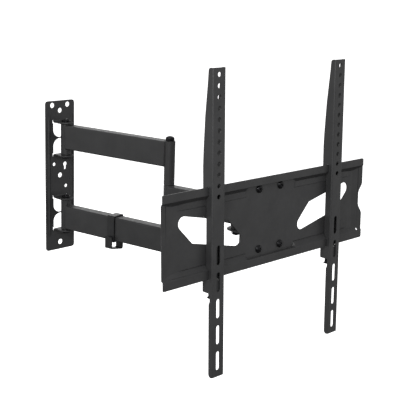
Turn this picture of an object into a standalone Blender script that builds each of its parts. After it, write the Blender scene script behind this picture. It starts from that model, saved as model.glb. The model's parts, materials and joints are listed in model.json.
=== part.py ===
"""Full motion TV wall mount, for Blender 4.5.

Metres, +Z up, +Y into the wall. The origin is on the wall plate's back face, on its centre line,
below the centre screw hole. The mount is modelled with its arms out and a little to one side, and
with the TV plate square to the wall and tipped slightly up.
"""
import math

import bmesh
import bpy
from mathutils import Vector
from mathutils.geometry import tessellate_polygon

MM = 0.001
GAP = 0.3 * MM                      # gap left between pieces that touch
SLEEVE_SIDES = 24                   # sides of a tube's sleeve
TURNED_SIDES = 16                   # sides of a bolt, bush or washer
HOLE_SIDES = 12                     # sides of a small hole

# Pose of the mount as modelled
ARM_YAW = math.radians(10.8)        # both arms, to the right of square
TV_TILT_UP = math.radians(2.4)      # TV plate, top edge towards the wall

# Heights are measured from the arms' mid plane, which runs through the centre screw hole
MID_Z = 11 * MM                     # mid plane above the origin

# Wall plate
PLATE_W = 59.2 * MM
PLATE_TOP = 129.2 * MM
PLATE_BOTTOM = -132.3 * MM
PLATE_T = 2.5 * MM
BEAD_X = 23 * MM
BEAD_W = 5.5 * MM
BEAD_H = 1.2 * MM
BEAD_LENGTH = 210 * MM
LUG_W = 28 * MM
LUG_OUTER = 92.6 * MM               # inner face of the outermost lugs
LUG_INNER = 38.6 * MM               # facing side of the lugs nearest the middle
BEND_R = 2 * MM                     # inside radius of a folded sheet
PIVOT_OUT = PLATE_T + 16 * MM       # wall pivot axis in front of the wall

# Arms
INNER_L = 220 * MM                  # wall pivot to elbow
OUTER_L = 128.5 * MM                # elbow to swivel
TUBE_W = 20 * MM
TUBE_WALL = 1.8 * MM
TUBE_CORNER = 2.4 * MM
ARM_LOW = 49.8 * MM                 # lower edge of the upper tube
ARM_HIGH = 90.2 * MM                # its upper edge; the lower tube mirrors it
OUTER_HALF_H = 19.3 * MM
SLEEVE_R = 8.6 * MM
WALL_SLEEVE = (39.9 * MM, 91.4 * MM)
ELBOW_SLEEVE = (20.9 * MM, 90.6 * MM)
ROOT = 4 * MM                       # a tube's flat end, from its sleeve's axis
WALL_ROOT = 7 * MM                  # the same at the wall sleeves
SWIVEL_SLEEVE_HALF = 24.3 * MM
VENT_R = 2.5 * MM                   # vent hole under each hollow tube

# Bolts and bushes
PIN_R = 4 * MM
PIN_HOLE_R = 4.4 * MM
BUSH_R = 5 * MM
BUSH_HOLE_R = 5.3 * MM
BUSH_FLANGE_R = 8 * MM
BUSH_BARREL = 12 * MM
HEAD_R = 7 * MM
HEAD_H = 6.8 * MM
NUT_R = 7.4 * MM
NUT_H = 6.5 * MM
LOW_HEAD_H = 3.5 * MM               # low heads and thin nuts of the wall pivots
CAP_H = 7.2 * MM                    # head of the elbow bolt
THIN_NUT_H = 3.5 * MM

# Swivel and tilt head
SWIVEL_LUG = (26.8 * MM, 29.3 * MM)
WEB_OUT = 25 * MM                   # swivel axis to the web's back
WEB_HALF_W = 21.5 * MM
WEB_HALF_H = 46 * MM
HEAD_T = 2.5 * MM
TILT_OUT = 42 * MM                  # swivel axis to tilt axis
EAR_R = 13 * MM
EAR_ROOT_HALF_H = 34 * MM
WASHER_T = 1 * MM
YOKE_HALF_W = 32 * MM
YOKE_HALF_H = 54 * MM

# TV plate, seen from the tilt axis: q is measured forward from the rails' front plane
RAIL_OUT = 29 * MM                  # tilt axis to the rails' front plane
TV_RISE = 1 * MM                    # tilt axis to the TV plate's middle
TV_HALF_W = 217 * MM
TV_HALF_H = 64.8 * MM
PLATE_SHIFT = 2 * MM                # plate's middle, right of the tilt axis' middle
RAIL_SHORT = 1.5 * MM               # rails end this much short of the plate's left end
TV_T = 2 * MM
PANEL_Q = -5.5 * MM                 # front of the recessed panel
RAIL_TOP_EDGE = 53.6 * MM
RAIL_BOTTOM_EDGE = -52.2 * MM
SLOPE_H = 6.8 * MM
STEEP_H = 0.4 * MM
STEEP_HALF_W = 51 * MM              # middle part where the rails' inner walls are steep
FLARE_X = 194 * MM                  # plate ends curve forward from here
FLARE_Q = -1 * MM
WAIST_X = 210 * MM                  # plate end where it is cut back
WAIST_HALF = (8 * MM, 26 * MM)
WINDOW_X = 122.7 * MM
WINDOW_LONG = (57.5 * MM, 12.65 * MM)
WINDOW_SHORT = (23 * MM, 23.45 * MM)
WINDOW_H = 0.8 * MM
PLATE_SCREW_X = 23 * MM
PLATE_SCREW_H = (47.1 * MM, -41.7 * MM)

# VESA brackets
BRACKET_X = (-118.3 * MM, 140.8 * MM)
BRACKET_W = 24.6 * MM
BRACKET_T = 2 * MM
BRACKET_Q = 7.7 * MM                # front face
BRACKET_TOP = 225 * MM
BRACKET_BOTTOM = -207.5 * MM
TOP_HOLE = 216 * MM
HOLE_PITCH = 15 * MM
HOLE_COUNT = 12
HOLE_R = 3.3 * MM
LOWEST_SLOT = -184 * MM             # 400 mm below the top hole
SLOT_PITCH = 38.3 * MM
SLOT_COUNT = 5
SLOT_W = 7 * MM
SLOT_L = 28 * MM
LOCK_Q = -6 * MM
LOCK_R = 2.5 * MM
LOCK_TIP = -57 * MM
KNOB_TOP = -84.6 * MM

# Cable clip
CLIP_AT = 111 * MM
CLIP_LENGTH = 14.6 * MM
CLIP_T = 2 * MM
CLIP_LIP = -17.8 * MM                 # front wall of the cable tray
CLIP_LIP_TOP = -82.6 * MM
CLIP_FLOOR = (-102.3 * MM, -108.2 * MM)  # heights under the tray's front and back walls

STEEL = ("powder_coat", (0.030, 0.030, 0.032), 0.45, 0.0)
BRACKET_STEEL = ("bracket_coat", (0.034, 0.034, 0.036), 0.45, 0.0)
BOLT_BLACK = ("black_screw", (0.012, 0.012, 0.013), 0.25, 0.6)
ZINC = ("zinc_bolt", (0.42, 0.42, 0.40), 0.35, 1.0)
NYLON = ("nylon", (0.05, 0.05, 0.05), 0.55, 0.0)
CLIP_PLASTIC = ("clip_plastic", (0.018, 0.018, 0.019), 0.40, 0.0)


# ---------------------------------------------------------------- outlines

def arc(centre, radius, start, end, steps):
    """Points on an arc, angles in degrees."""
    points = []
    for i in range(steps + 1):
        angle = math.radians(start + (end - start) * i / steps)
        points.append((centre[0] + radius * math.cos(angle), centre[1] + radius * math.sin(angle)))
    return points


def circle(centre, radius, sides):
    return arc(centre, radius, 0, 360 * (sides - 1) / sides, sides - 1)


def slot(centre, width, length, steps=8):
    """An upright slot with round ends."""
    reach = (length - width) / 2
    upper = arc((centre[0], centre[1] + reach), width / 2, 0, 180, steps)
    lower = arc((centre[0], centre[1] - reach), width / 2, 180, 360, steps)
    return upper + lower


def rounded(corners, radii, steps=5):
    """A polygon whose corners are rounded, each with its own radius."""
    points = []
    for i, corner in enumerate(corners):
        here = Vector(corner)
        before = (Vector(corners[i - 1]) - here).normalized()
        after = (Vector(corners[(i + 1) % len(corners)]) - here).normalized()
        radius = radii[i] if isinstance(radii, (list, tuple)) else radii
        if radius == 0:
            points.append(corner)
            continue
        half = before.angle(after) / 2
        centre = here + (before + after).normalized() * radius / math.sin(half)
        first = here + before * radius / math.tan(half) - centre
        turn = first.angle_signed(here + after * radius / math.tan(half) - centre)
        for k in range(steps + 1):
            angle = -turn * k / steps
            x = first.x * math.cos(angle) - first.y * math.sin(angle)
            y = first.x * math.sin(angle) + first.y * math.cos(angle)
            points.append((centre.x + x, centre.y + y))
    return points


def box_outline(low, high, radius, steps=4):
    corners = [(low[0], low[1]), (high[0], low[1]), (high[0], high[1]), (low[0], high[1])]
    return rounded(corners, radius, steps)


# ---------------------------------------------------------------- meshes

PLANES = {
    "XY": lambda u, v, w: (u, v, w),
    "XZ": lambda u, v, w: (u, w, v),
    "YZ": lambda u, v, w: (w, u, v),
}


def add_prism(bm, outline, low, high, plane, holes=()):
    """A closed prism: an outline, with holes, swept from low to high across its plane."""
    place = PLANES[plane]
    loops = [outline] + list(holes)
    flat = [point for loop in loops for point in loop]
    bottom = [bm.verts.new(place(u, v, low)) for u, v in flat]
    top = [bm.verts.new(place(u, v, high)) for u, v in flat]
    for tri in tessellate_polygon([[Vector((u, v, 0)) for u, v in loop] for loop in loops]):
        bm.faces.new([bottom[i] for i in tri])
        bm.faces.new([top[i] for i in tri])
    start = 0
    for loop in loops:
        for k in range(len(loop)):
            a = start + k
            b = start + (k + 1) % len(loop)
            bm.faces.new((bottom[a], bottom[b], top[b], top[a]))
        start += len(loop)


def add_turned(bm, profile, sides, axis="Z", centre=(0, 0, 0)):
    """A turned solid: (radius, height) pairs around an axis; a radius of 0 closes an end."""
    rings = []
    for radius, height in profile:
        ring = []
        for k in range(sides if radius else 1):
            angle = 2 * math.pi * k / sides
            u = radius * math.cos(angle)
            v = radius * math.sin(angle)
            point = {"Z": (u, v, height), "X": (height, u, v), "Y": (v, height, u)}[axis]
            ring.append(bm.verts.new(Vector(point) + Vector(centre)))
        rings.append(ring)
    closed = profile[0][0] and profile[-1][0]
    pairs = list(zip(rings, rings[1:] + rings[:1])) if closed else list(zip(rings, rings[1:]))
    for lower, upper in pairs:
        for k in range(sides):
            corners = [lower[k % len(lower)], lower[(k + 1) % len(lower)],
                       upper[(k + 1) % len(upper)], upper[k % len(upper)]]
            unique = []
            for vert in corners:
                if vert not in unique:
                    unique.append(vert)
            bm.faces.new(unique)


def rod_profile(radius, low, high):
    return [(0, low), (radius, low), (radius, high), (0, high)]


def ring_profile(inner, outer, low, high):
    return [(inner, low), (outer, low), (outer, high), (inner, high)]


# ---------------------------------------------------------------- objects

def make_material(spec):
    name, colour, roughness, metallic = spec
    material = bpy.data.materials.get(name)
    if material is None:
        material = bpy.data.materials.new(name)
        material.use_nodes = True
        shader = material.node_tree.nodes["Principled BSDF"]
        shader.inputs["Base Color"].default_value = (*colour, 1)
        shader.inputs["Roughness"].default_value = roughness
        shader.inputs["Metallic"].default_value = metallic
    return material


def make_object(name, build, parent, spec=None, location=(0, 0, 0)):
    """An object whose mesh the function build(bm) makes, under a parent empty."""
    bm = bmesh.new()
    build(bm)
    bmesh.ops.recalc_face_normals(bm, faces=bm.faces)
    mesh = bpy.data.meshes.new(name)
    bm.to_mesh(mesh)
    bm.free()
    obj = bpy.data.objects.new(name, mesh)
    bpy.context.collection.objects.link(obj)
    obj.parent = parent
    obj.location = location
    if spec:
        mesh.materials.append(make_material(spec))
        mesh.shade_smooth()
        mesh.set_sharp_from_angle(angle=math.radians(35))
    return obj


def combine(obj, operation, name, build):
    """Cut, join or intersect an object with a shape that isn't itself shown."""
    tool = make_object(name, build, obj)
    tool.hide_render = True
    tool.display_type = "WIRE"
    modifier = obj.modifiers.new(name, "BOOLEAN")
    modifier.operation = operation
    modifier.solver = "EXACT"
    modifier.object = tool


def make_empty(name, parent, location, turn=(0, 0, 0)):
    empty = bpy.data.objects.new(name, None)
    bpy.context.collection.objects.link(empty)
    empty.parent = parent
    empty.location = location
    empty.rotation_euler = turn
    return empty


# ---------------------------------------------------------------- wall plate

def lug_outline(sign, front, axis_y, half):
    """Plan of a lug: straight from its root, round about its bolt."""
    tip = arc((0, axis_y), half, 0, sign * 180, 10)
    return [(half, front)] + tip + [(-half, front)]


def folded_lug(bm, facing, fold):
    """One wall lug. facing is its inner face; fold is +1 where it is folded from above."""
    half = LUG_W / 2 - 0.1 * MM
    outer_r = BEND_R + PLATE_T
    centre = (-outer_r, facing + fold * outer_r)
    swing = 90 * fold
    outside = arc(centre, outer_r, 0, -swing, 5)
    inside = arc(centre, BEND_R, -swing, 0, 5)
    stub = centre[1] + fold * 2 * MM
    add_prism(bm, [(0, stub)] + outside + inside + [(-PLATE_T, stub)], -half, half, "YZ")


def flat_lug(bm, facing, fold):
    half = LUG_W / 2 - 0.1 * MM
    outline = lug_outline(-1, -(BEND_R + PLATE_T) + 0.5 * MM, -PIVOT_OUT, half)
    hole = circle((0, -PIVOT_OUT), PIN_HOLE_R, HOLE_SIDES)
    low, high = sorted((facing, facing + fold * PLATE_T))
    add_prism(bm, outline, low, high, "XY", [hole])


LUGS = ((LUG_OUTER, 1), (LUG_INNER, -1), (-LUG_INNER, 1), (-LUG_OUTER, -1))


def wall_windows(bm):
    """The openings that the lugs were folded from, with bend reliefs beside each fold."""
    half = LUG_W / 2
    for facing, fold in LUGS:
        edge = facing + fold * (BEND_R + PLATE_T)
        middle = math.copysign((LUG_OUTER + LUG_INNER) / 2 + 0.2 * MM, facing)
        tip = middle + fold * 0.9 * MM
        relief = half + 1.6 * MM
        step = facing - fold * 1.2 * MM
        rise = half - 1 * MM
        end = []
        for k in range(10):
            angle = math.pi * k / 9
            end.append((half * math.cos(angle), tip + fold * rise * (1 - math.sin(angle))))
        foot = [(-half, step), (-relief, step), (-relief, edge), (relief, edge), (relief, step)]
        add_prism(bm, [(half, step)] + end + foot, -PLATE_T - 1 * MM, 1 * MM, "XZ")


WALL_HOLES = (                      # x, height and radius, in millimetres
    (-15.6, 121.7, 4.5), (15.6, 121.7, 4.5), (0, 112.3, 4.3), (0, 0, 4.4), (0, -119.5, 4.7),
    (-12.2, 20.2, 3.1), (12.2, -20.2, 3.1),
)
KEYHOLE = (10.4 * MM, 18.5 * MM)
KEYHOLE_R = 3.9 * MM
KEYHOLE_NECK = 2.2 * MM
KEYHOLE_DROP = 7.5 * MM


def wall_holes(bm):
    low, high = -PLATE_T - 2 * MM, 2 * MM
    for x, z, radius in WALL_HOLES:
        add_prism(bm, circle((x * MM, z * MM), radius * MM, TURNED_SIDES), low, high, "XZ")
    meet = math.degrees(math.asin(KEYHOLE_NECK / KEYHOLE_R))
    head = arc(KEYHOLE, KEYHOLE_R, -90 + meet, 270 - meet, 16)
    foot = arc((KEYHOLE[0], KEYHOLE[1] - KEYHOLE_DROP), KEYHOLE_NECK, 180, 360, 8)
    add_prism(bm, head + foot, low, high, "XZ")


def bead(bm, x):
    """A pressed bead: a low rounded ridge that runs out at both ends."""
    steps = 4
    taper = 12 * MM
    half = BEAD_LENGTH / 2
    stations = [(-half, 0.0), (-half + taper / 2, 0.6), (-half + taper, 1.0),
                (half - taper, 1.0), (half - taper / 2, 0.6), (half, 0.0)]
    rows = []
    for z, share in stations:
        row = []
        for i in range(steps + 1):
            across = -1 + 2 * i / steps
            height = 0.02 * MM + share * BEAD_H * math.cos(across * math.pi / 2) ** 2
            row.append(bm.verts.new((x + across * BEAD_W / 2, -PLATE_T - height, z)))
        rows.append(row)
    root = -PLATE_T + 1 * MM
    floor = [[bm.verts.new((x + side * BEAD_W / 2, root, z)) for side in (-1, 1)] for z in (-half, half)]
    for lower, upper in zip(rows, rows[1:]):
        for i in range(steps):
            bm.faces.new((lower[i], lower[i + 1], upper[i + 1], upper[i]))
    bm.faces.new(rows[0] + [floor[0][1], floor[0][0]])
    bm.faces.new(rows[-1] + [floor[1][1], floor[1][0]])
    bm.faces.new([row[0] for row in rows] + [floor[1][0], floor[0][0]])
    bm.faces.new([row[-1] for row in rows] + [floor[1][1], floor[0][1]])
    bm.faces.new((floor[0][0], floor[0][1], floor[1][1], floor[1][0]))


def make_wall_plate(frame):
    half = PLATE_W / 2
    outline = box_outline((-half, PLATE_BOTTOM), (half, PLATE_TOP), 5 * MM)
    plate = make_object("wall_plate", lambda bm: add_prism(bm, outline, -PLATE_T, 0, "XZ"), frame, STEEL)

    def beads(bm):
        bead(bm, -BEAD_X)
        bead(bm, BEAD_X)

    def folds(bm):
        for facing, fold in LUGS:
            folded_lug(bm, facing, fold)

    def lugs(bm):
        for facing, fold in LUGS:
            flat_lug(bm, facing, fold)

    combine(plate, "UNION", "wall_beads", beads)
    combine(plate, "DIFFERENCE", "wall_windows", wall_windows)
    combine(plate, "DIFFERENCE", "wall_holes", wall_holes)
    combine(plate, "UNION", "wall_folds", folds)
    combine(plate, "UNION", "wall_lugs", lugs)


def make_bolt(name, parent, low, high, location=(0, 0, 0), axis="Z", head_h=HEAD_H):
    """A bolt with a domed head above high and its end at low."""
    def build(bm):
        profile = [(0, low), (PIN_R * 0.8, low), (PIN_R, low + 1 * MM), (PIN_R, high), (HEAD_R, high)]
        for share, rise in ((1, 0.6), (0.9, 0.86), (0.62, 1), (0, 1)):
            profile.append((HEAD_R * share, high + head_h * rise))
        add_turned(bm, profile, TURNED_SIDES, axis)
    return make_object(name, build, parent, BOLT_BLACK, location)


def make_nut(name, parent, low, high, radius, bore, location=(0, 0, 0), axis="Z", spec=BOLT_BLACK):
    """A hexagon nut with a round bore."""
    def build(bm):
        plane = {"Z": "XY", "Y": "XZ", "X": "YZ"}[axis]
        add_prism(bm, circle((0, 0), radius, 6), low, high, plane, [circle((0, 0), bore, HOLE_SIDES)])
    return make_object(name, build, parent, spec, location)


def make_ring(name, parent, inner, outer, low, high, location=(0, 0, 0), axis="Z"):
    profile = ring_profile(inner, outer, low, high)
    return make_object(name, lambda bm: add_turned(bm, profile, TURNED_SIDES, axis), parent, NYLON, location)


def make_bush(name, parent, flange_from, flange_to, barrel_to, location):
    """A flanged nylon bush; its barrel reaches into the sleeve."""
    def build(bm):
        profile = [(PIN_HOLE_R, flange_from), (BUSH_FLANGE_R, flange_from), (BUSH_FLANGE_R, flange_to),
                   (BUSH_R, flange_to), (BUSH_R, barrel_to), (PIN_HOLE_R, barrel_to)]
        add_turned(bm, profile, TURNED_SIDES)
    return make_object(name, build, parent, NYLON, location)


def make_wall_bolts(frame):
    for name, side in (("upper", 1), ("lower", -1)):
        top = max(side * LUG_OUTER, side * LUG_INNER) + PLATE_T + GAP
        foot = min(side * LUG_OUTER, side * LUG_INNER) - PLATE_T - GAP
        spot = (0, -PIVOT_OUT, 0)
        make_bolt(name + "_pivot_bolt", frame, foot - THIN_NUT_H - 0.5 * MM, top, spot, "Z", LOW_HEAD_H)
        make_nut(name + "_pivot_nut", frame, foot - THIN_NUT_H, foot, NUT_R, PIN_HOLE_R, spot)


# ---------------------------------------------------------------- arms

def make_arm(name, frame, length, tube, near_sleeve, far_sleeve, bores, near_root=ROOT):
    """A rectangular tube along -Y with a sleeve welded on each end.

    tube, near_sleeve and far_sleeve are (low, high) pairs; bores holds the two bore radii.
    """
    low, high = tube
    half = TUBE_W / 2
    bar = box_outline((-half, low), (half, high), TUBE_CORNER)
    arm = make_object(name, lambda bm: add_prism(bm, bar, -length + ROOT, -near_root, "XZ"), frame, STEEL)

    def sleeves(bm):
        add_turned(bm, rod_profile(SLEEVE_R, *near_sleeve), SLEEVE_SIDES)
        add_turned(bm, rod_profile(SLEEVE_R, *far_sleeve), SLEEVE_SIDES, "Z", (0, -length, 0))

    def hollows(bm):
        inner = box_outline((-half + TUBE_WALL, low + TUBE_WALL), (half - TUBE_WALL, high - TUBE_WALL),
                            TUBE_CORNER - TUBE_WALL)
        end = SLEEVE_R + 1 * MM
        add_prism(bm, inner, -length + end, -end, "XZ")
        past = 1 * MM
        add_turned(bm, rod_profile(bores[0], near_sleeve[0] - past, near_sleeve[1] + past), TURNED_SIDES)
        add_turned(bm, rod_profile(bores[1], far_sleeve[0] - past, far_sleeve[1] + past), TURNED_SIDES,
                   "Z", (0, -length, 0))

    def vents(bm):
        for y in (-length + 22 * MM, -22 * MM):
            drill = rod_profile(VENT_R, low - 1 * MM, low + TUBE_WALL + 2 * MM)
            add_turned(bm, drill, HOLE_SIDES, "Z", (0, y, 0))

    combine(arm, "UNION", name + "_sleeves", sleeves)
    combine(arm, "DIFFERENCE", name + "_hollows", hollows)
    combine(arm, "DIFFERENCE", name + "_vents", vents)
    return arm


def mirrored(pair):
    return (-pair[1], -pair[0])


def make_inner_arm(frame):
    tube = (ARM_LOW, ARM_HIGH)
    bores = (BUSH_HOLE_R, PIN_HOLE_R)
    make_arm("upper_arm", frame, INNER_L, tube, WALL_SLEEVE, ELBOW_SLEEVE, bores, WALL_ROOT)
    make_arm("lower_arm", frame, INNER_L, mirrored(tube), mirrored(WALL_SLEEVE), mirrored(ELBOW_SLEEVE),
             bores, WALL_ROOT)
    for name, side in (("upper", 1), ("lower", -1)):
        outside = side * (LUG_OUTER - GAP)
        seat = side * (WALL_SLEEVE[1] + GAP)
        make_bush(name + "_outside_bush", frame, outside, seat, seat - side * BUSH_BARREL, (0, 0, 0))
        inside = side * (LUG_INNER + GAP)
        seat = side * (WALL_SLEEVE[0] - GAP)
        make_bush(name + "_inside_bush", frame, inside, seat, seat + side * BUSH_BARREL, (0, 0, 0))
    top = ELBOW_SLEEVE[1] + GAP
    spot = (0, -INNER_L, 0)
    make_bolt("elbow_bolt", frame, -top - NUT_H - 1.5 * MM, top, spot, head_h=CAP_H)
    make_nut("elbow_nut", frame, -top - NUT_H, -top, NUT_R, PIN_HOLE_R, spot)


def clip_outline():
    """Section of the cable clip: strap over the tube, catch under it and a cable tray below."""
    inner = TUBE_W / 2 + GAP
    outer = inner + CLIP_T
    top = -ARM_LOW + GAP + CLIP_T
    ledge = -ARM_HIGH - GAP
    lip = CLIP_LIP + CLIP_T
    lean = (CLIP_FLOOR[1] - CLIP_FLOOR[0]) / (outer - CLIP_LIP)
    floor = CLIP_FLOOR[0] + 1.5 * MM
    corners = [                     # across and height in metres, corner radius in millimetres
        (-outer, top, 2.5), (outer, top, 2.5), (outer, CLIP_FLOOR[1], 3.5),
        (CLIP_LIP, CLIP_FLOOR[0], 1.5), (CLIP_LIP, CLIP_LIP_TOP, 0.7), (lip, CLIP_LIP_TOP, 0.7),
        (lip, floor + CLIP_T * lean, 1), (inner, floor + (inner - CLIP_LIP) * lean, 2),
        (inner, ledge - CLIP_T, 0), (3 * MM, ledge - CLIP_T, 0.5), (3 * MM, ledge, 0.5), (inner, ledge, 0),
        (inner, top - CLIP_T, 0.8), (-inner, top - CLIP_T, 0.8), (-inner, ledge, 0), (-8 * MM, ledge, 0),
        (-8 * MM, ledge - CLIP_T, 0.5), (-outer, ledge - CLIP_T, 1.5),
    ]
    return rounded([(x, z) for x, z, radius in corners], [radius * MM for x, z, radius in corners], 4)


def make_cable_clip(frame):
    low = -CLIP_AT - CLIP_LENGTH / 2
    outline = clip_outline()
    make_object("cable_clip", lambda bm: add_prism(bm, outline, low, low + CLIP_LENGTH, "XZ"),
                frame, CLIP_PLASTIC)


def make_outer_arm(frame):
    tube = (-OUTER_HALF_H, OUTER_HALF_H)
    swivel_sleeve = (-SWIVEL_SLEEVE_HALF, SWIVEL_SLEEVE_HALF)
    make_arm("outer_arm", frame, OUTER_L, tube, tube, swivel_sleeve, (PIN_HOLE_R, BUSH_HOLE_R))
    for name, side in (("upper", 1), ("lower", -1)):
        low, high = sorted((side * (OUTER_HALF_H + 0.25 * MM), side * (ELBOW_SLEEVE[0] - 0.25 * MM)))
        make_ring(name + "_elbow_washer", frame, PIN_HOLE_R, BUSH_FLANGE_R, low, high)
        seat = side * (SWIVEL_SLEEVE_HALF + GAP)
        make_bush(name + "_swivel_bush", frame, side * (SWIVEL_LUG[0] - GAP), seat, seat - side * BUSH_BARREL,
                  (0, -OUTER_L, 0))


# ---------------------------------------------------------------- swivel and tilt head

def channel_outline(half, root, lip, sheet, corner):
    """Plan of a channel: its back at root, its side walls reaching to lip."""
    way = 1 if lip > root else -1
    outer = [(-half, lip), (-half, root), (half, root), (half, lip)]
    inner = [(half - sheet, lip), (half - sheet, root + way * sheet), (-half + sheet, root + way * sheet),
             (-half + sheet, lip)]
    tight = max(corner - sheet, 0.6 * MM)
    return rounded(outer + inner, [0, corner, corner, 0, 0, tight, tight, 0], 4)


def make_swivel_bracket(frame):
    half = WEB_HALF_W
    front = -WEB_OUT - HEAD_T
    reach = -TILT_OUT - EAR_R
    section = channel_outline(half, -WEB_OUT, reach - 2 * MM, HEAD_T, 3.5 * MM)
    bracket = make_object("swivel_bracket",
                          lambda bm: add_prism(bm, section, -WEB_HALF_H, WEB_HALF_H, "XY"), frame, STEEL)
    tall = WEB_HALF_H
    root = front - 2 * MM
    profile = [(-WEB_OUT + 1 * MM, tall), (-WEB_OUT + 1 * MM, -tall), (root, -tall), (root, -EAR_ROOT_HALF_H)]
    profile += arc((-TILT_OUT, 0), EAR_R, -60, -300, 12)
    profile += [(root, EAR_ROOT_HALF_H), (root, tall)]
    combine(bracket, "INTERSECT", "swivel_side_view",
            lambda bm: add_prism(bm, profile, -half - 1 * MM, half + 1 * MM, "YZ"))
    view = box_outline((-half, -tall), (half, tall), 6 * MM)
    combine(bracket, "INTERSECT", "swivel_front_view",
            lambda bm: add_prism(bm, view, reach - 5 * MM, 5 * MM, "XZ"))

    def lugs(bm):
        lug = lug_outline(1, -WEB_OUT - 1 * MM, 0, LUG_W / 2)
        hole = circle((0, 0), PIN_HOLE_R, HOLE_SIDES)
        add_prism(bm, lug, SWIVEL_LUG[0], SWIVEL_LUG[1], "XY", [hole])
        add_prism(bm, lug, -SWIVEL_LUG[1], -SWIVEL_LUG[0], "XY", [hole])

    def holes(bm):
        drill = rod_profile(PIN_HOLE_R, -half - 1 * MM, half + 1 * MM)
        add_turned(bm, drill, HOLE_SIDES, "X", (0, -TILT_OUT, 0))

    combine(bracket, "UNION", "swivel_lugs", lugs)
    combine(bracket, "DIFFERENCE", "swivel_tilt_holes", holes)
    top = SWIVEL_LUG[1] + GAP
    make_bolt("swivel_bolt", frame, -top - NUT_H - 1.5 * MM, top)
    make_nut("swivel_nut", frame, -top - NUT_H, -top, NUT_R, PIN_HOLE_R)


def q_to_y(q):
    """Distance in front of the rails' plane, as a Y of the tilt frame."""
    return -(RAIL_OUT + q)


def make_tilt_bracket(frame):
    front = q_to_y(PANEL_Q - TV_T - GAP)
    back = front + HEAD_T
    middle = TV_RISE + sum(PLATE_SCREW_H) / 2
    base = box_outline((-YOKE_HALF_W, middle - YOKE_HALF_H), (YOKE_HALF_W, middle + YOKE_HALF_H), 6 * MM)
    holes = [circle((x, h + TV_RISE), 3.3 * MM, HOLE_SIDES)
             for x in (-PLATE_SCREW_X, PLATE_SCREW_X) for h in PLATE_SCREW_H]
    bracket = make_object("tilt_bracket", lambda bm: add_prism(bm, base, front, back, "XZ", holes),
                          frame, STEEL)
    inner = WEB_HALF_W + WASHER_T + 2 * GAP
    outer = inner + HEAD_T
    root = back - 1 * MM
    side = [(root, -28 * MM)] + arc((0, 0), EAR_R, -60, 60, 10) + [(root, 28 * MM)]
    hole = circle((0, 0), PIN_HOLE_R, HOLE_SIDES)

    def ears(bm):
        add_prism(bm, side, inner, outer, "YZ", [hole])
        add_prism(bm, side, -outer, -inner, "YZ", [hole])

    combine(bracket, "UNION", "tilt_ears", ears)
    make_bolt("tilt_bolt", frame, -outer - GAP - NUT_H - 1.5 * MM, outer + GAP, axis="X")
    make_nut("tilt_nut", frame, -outer - GAP - NUT_H, -outer - GAP, NUT_R, PIN_HOLE_R, axis="X")
    for name, sign in (("left", -1), ("right", 1)):
        low, high = sorted((sign * (WEB_HALF_W + GAP), sign * (WEB_HALF_W + GAP + WASHER_T)))
        make_ring(name + "_tilt_washer", frame, PIN_HOLE_R, 9 * MM, low, high, axis="X")


# ---------------------------------------------------------------- TV plate

def panel_depth(a, h):
    """How far the pressed plate's front lies behind the rails, as q."""
    across = min(max((abs(a) - STEEP_HALF_W) / (2 * MM), 0), 1)
    width = STEEP_H + (SLOPE_H - STEEP_H) * across
    top = min(max((h - RAIL_TOP_EDGE + width) / width, 0), 1)
    bottom = min(max((RAIL_BOTTOM_EDGE - h + width) / width, 0), 1)
    flare = max(abs(a) - FLARE_X, 0) / (TV_HALF_W - FLARE_X)
    rise = max(top, bottom) * -PANEL_Q
    curl = flare ** 1.5 * (FLARE_Q - PANEL_Q)
    return PANEL_Q + max(rise, curl)


def pressed_sheet(bm):
    """The TV plate's skin, front and back, on grid lines placed where the shape changes."""
    past = 1 * MM
    flare = [FLARE_X + (TV_HALF_W - FLARE_X) * share for share in (0, 0.3, 0.5, 0.7, 0.85, 1)]
    side = [STEEP_HALF_W, STEEP_HALF_W + 2 * MM] + flare + [TV_HALF_W + past]
    columns = [-x for x in reversed(side)] + side
    rows = [-TV_HALF_H - past, RAIL_BOTTOM_EDGE, RAIL_BOTTOM_EDGE + STEEP_H, RAIL_BOTTOM_EDGE + SLOPE_H]
    rows += [RAIL_TOP_EDGE - SLOPE_H, RAIL_TOP_EDGE - STEEP_H, RAIL_TOP_EDGE, TV_HALF_H + past]
    skins = []
    for offset in (0, -TV_T):
        skins.append([[bm.verts.new((a + PLATE_SHIFT, q_to_y(panel_depth(a, h) + offset), h + TV_RISE))
                       for a in columns]
                      for h in rows])
    last_row = len(rows) - 1
    last_column = len(columns) - 1
    for skin in skins:
        for i in range(last_row):
            for j in range(last_column):
                bm.faces.new((skin[i][j], skin[i][j + 1], skin[i + 1][j + 1], skin[i + 1][j]))
    front, back = skins
    for i in range(last_row):
        for j in (0, last_column):
            bm.faces.new((front[i][j], front[i + 1][j], back[i + 1][j], back[i][j]))
    for j in range(last_column):
        for i in (0, last_row):
            bm.faces.new((front[i][j], front[i][j + 1], back[i][j + 1], back[i][j]))


def tv_outline():
    """Front view of the plate: a waist at its right end, rails a little short at its left end."""
    near, far = WAIST_HALF
    upper = []
    steps = 8
    for i in range(steps + 1):
        share = i / steps
        bulge = (1 - math.cos(share * math.pi)) / 2
        upper.append((WAIST_X + (TV_HALF_W - WAIST_X) * bulge, near + (far - near) * share))
    upper += arc((TV_HALF_W - 3 * MM, TV_HALF_H - 3 * MM), 3 * MM, 0, 90, 4)
    rail_end = -TV_HALF_W + RAIL_SHORT
    upper += arc((rail_end + 1.5 * MM, TV_HALF_H - 1.5 * MM), 1.5 * MM, 90, 180, 4)
    upper += [(rail_end, RAIL_TOP_EDGE - 1 * MM), (-TV_HALF_W, RAIL_TOP_EDGE - 3 * MM)]
    points = upper + [(x, -h) for x, h in reversed(upper)]
    return [(x + PLATE_SHIFT, h + TV_RISE) for x, h in points]


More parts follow.
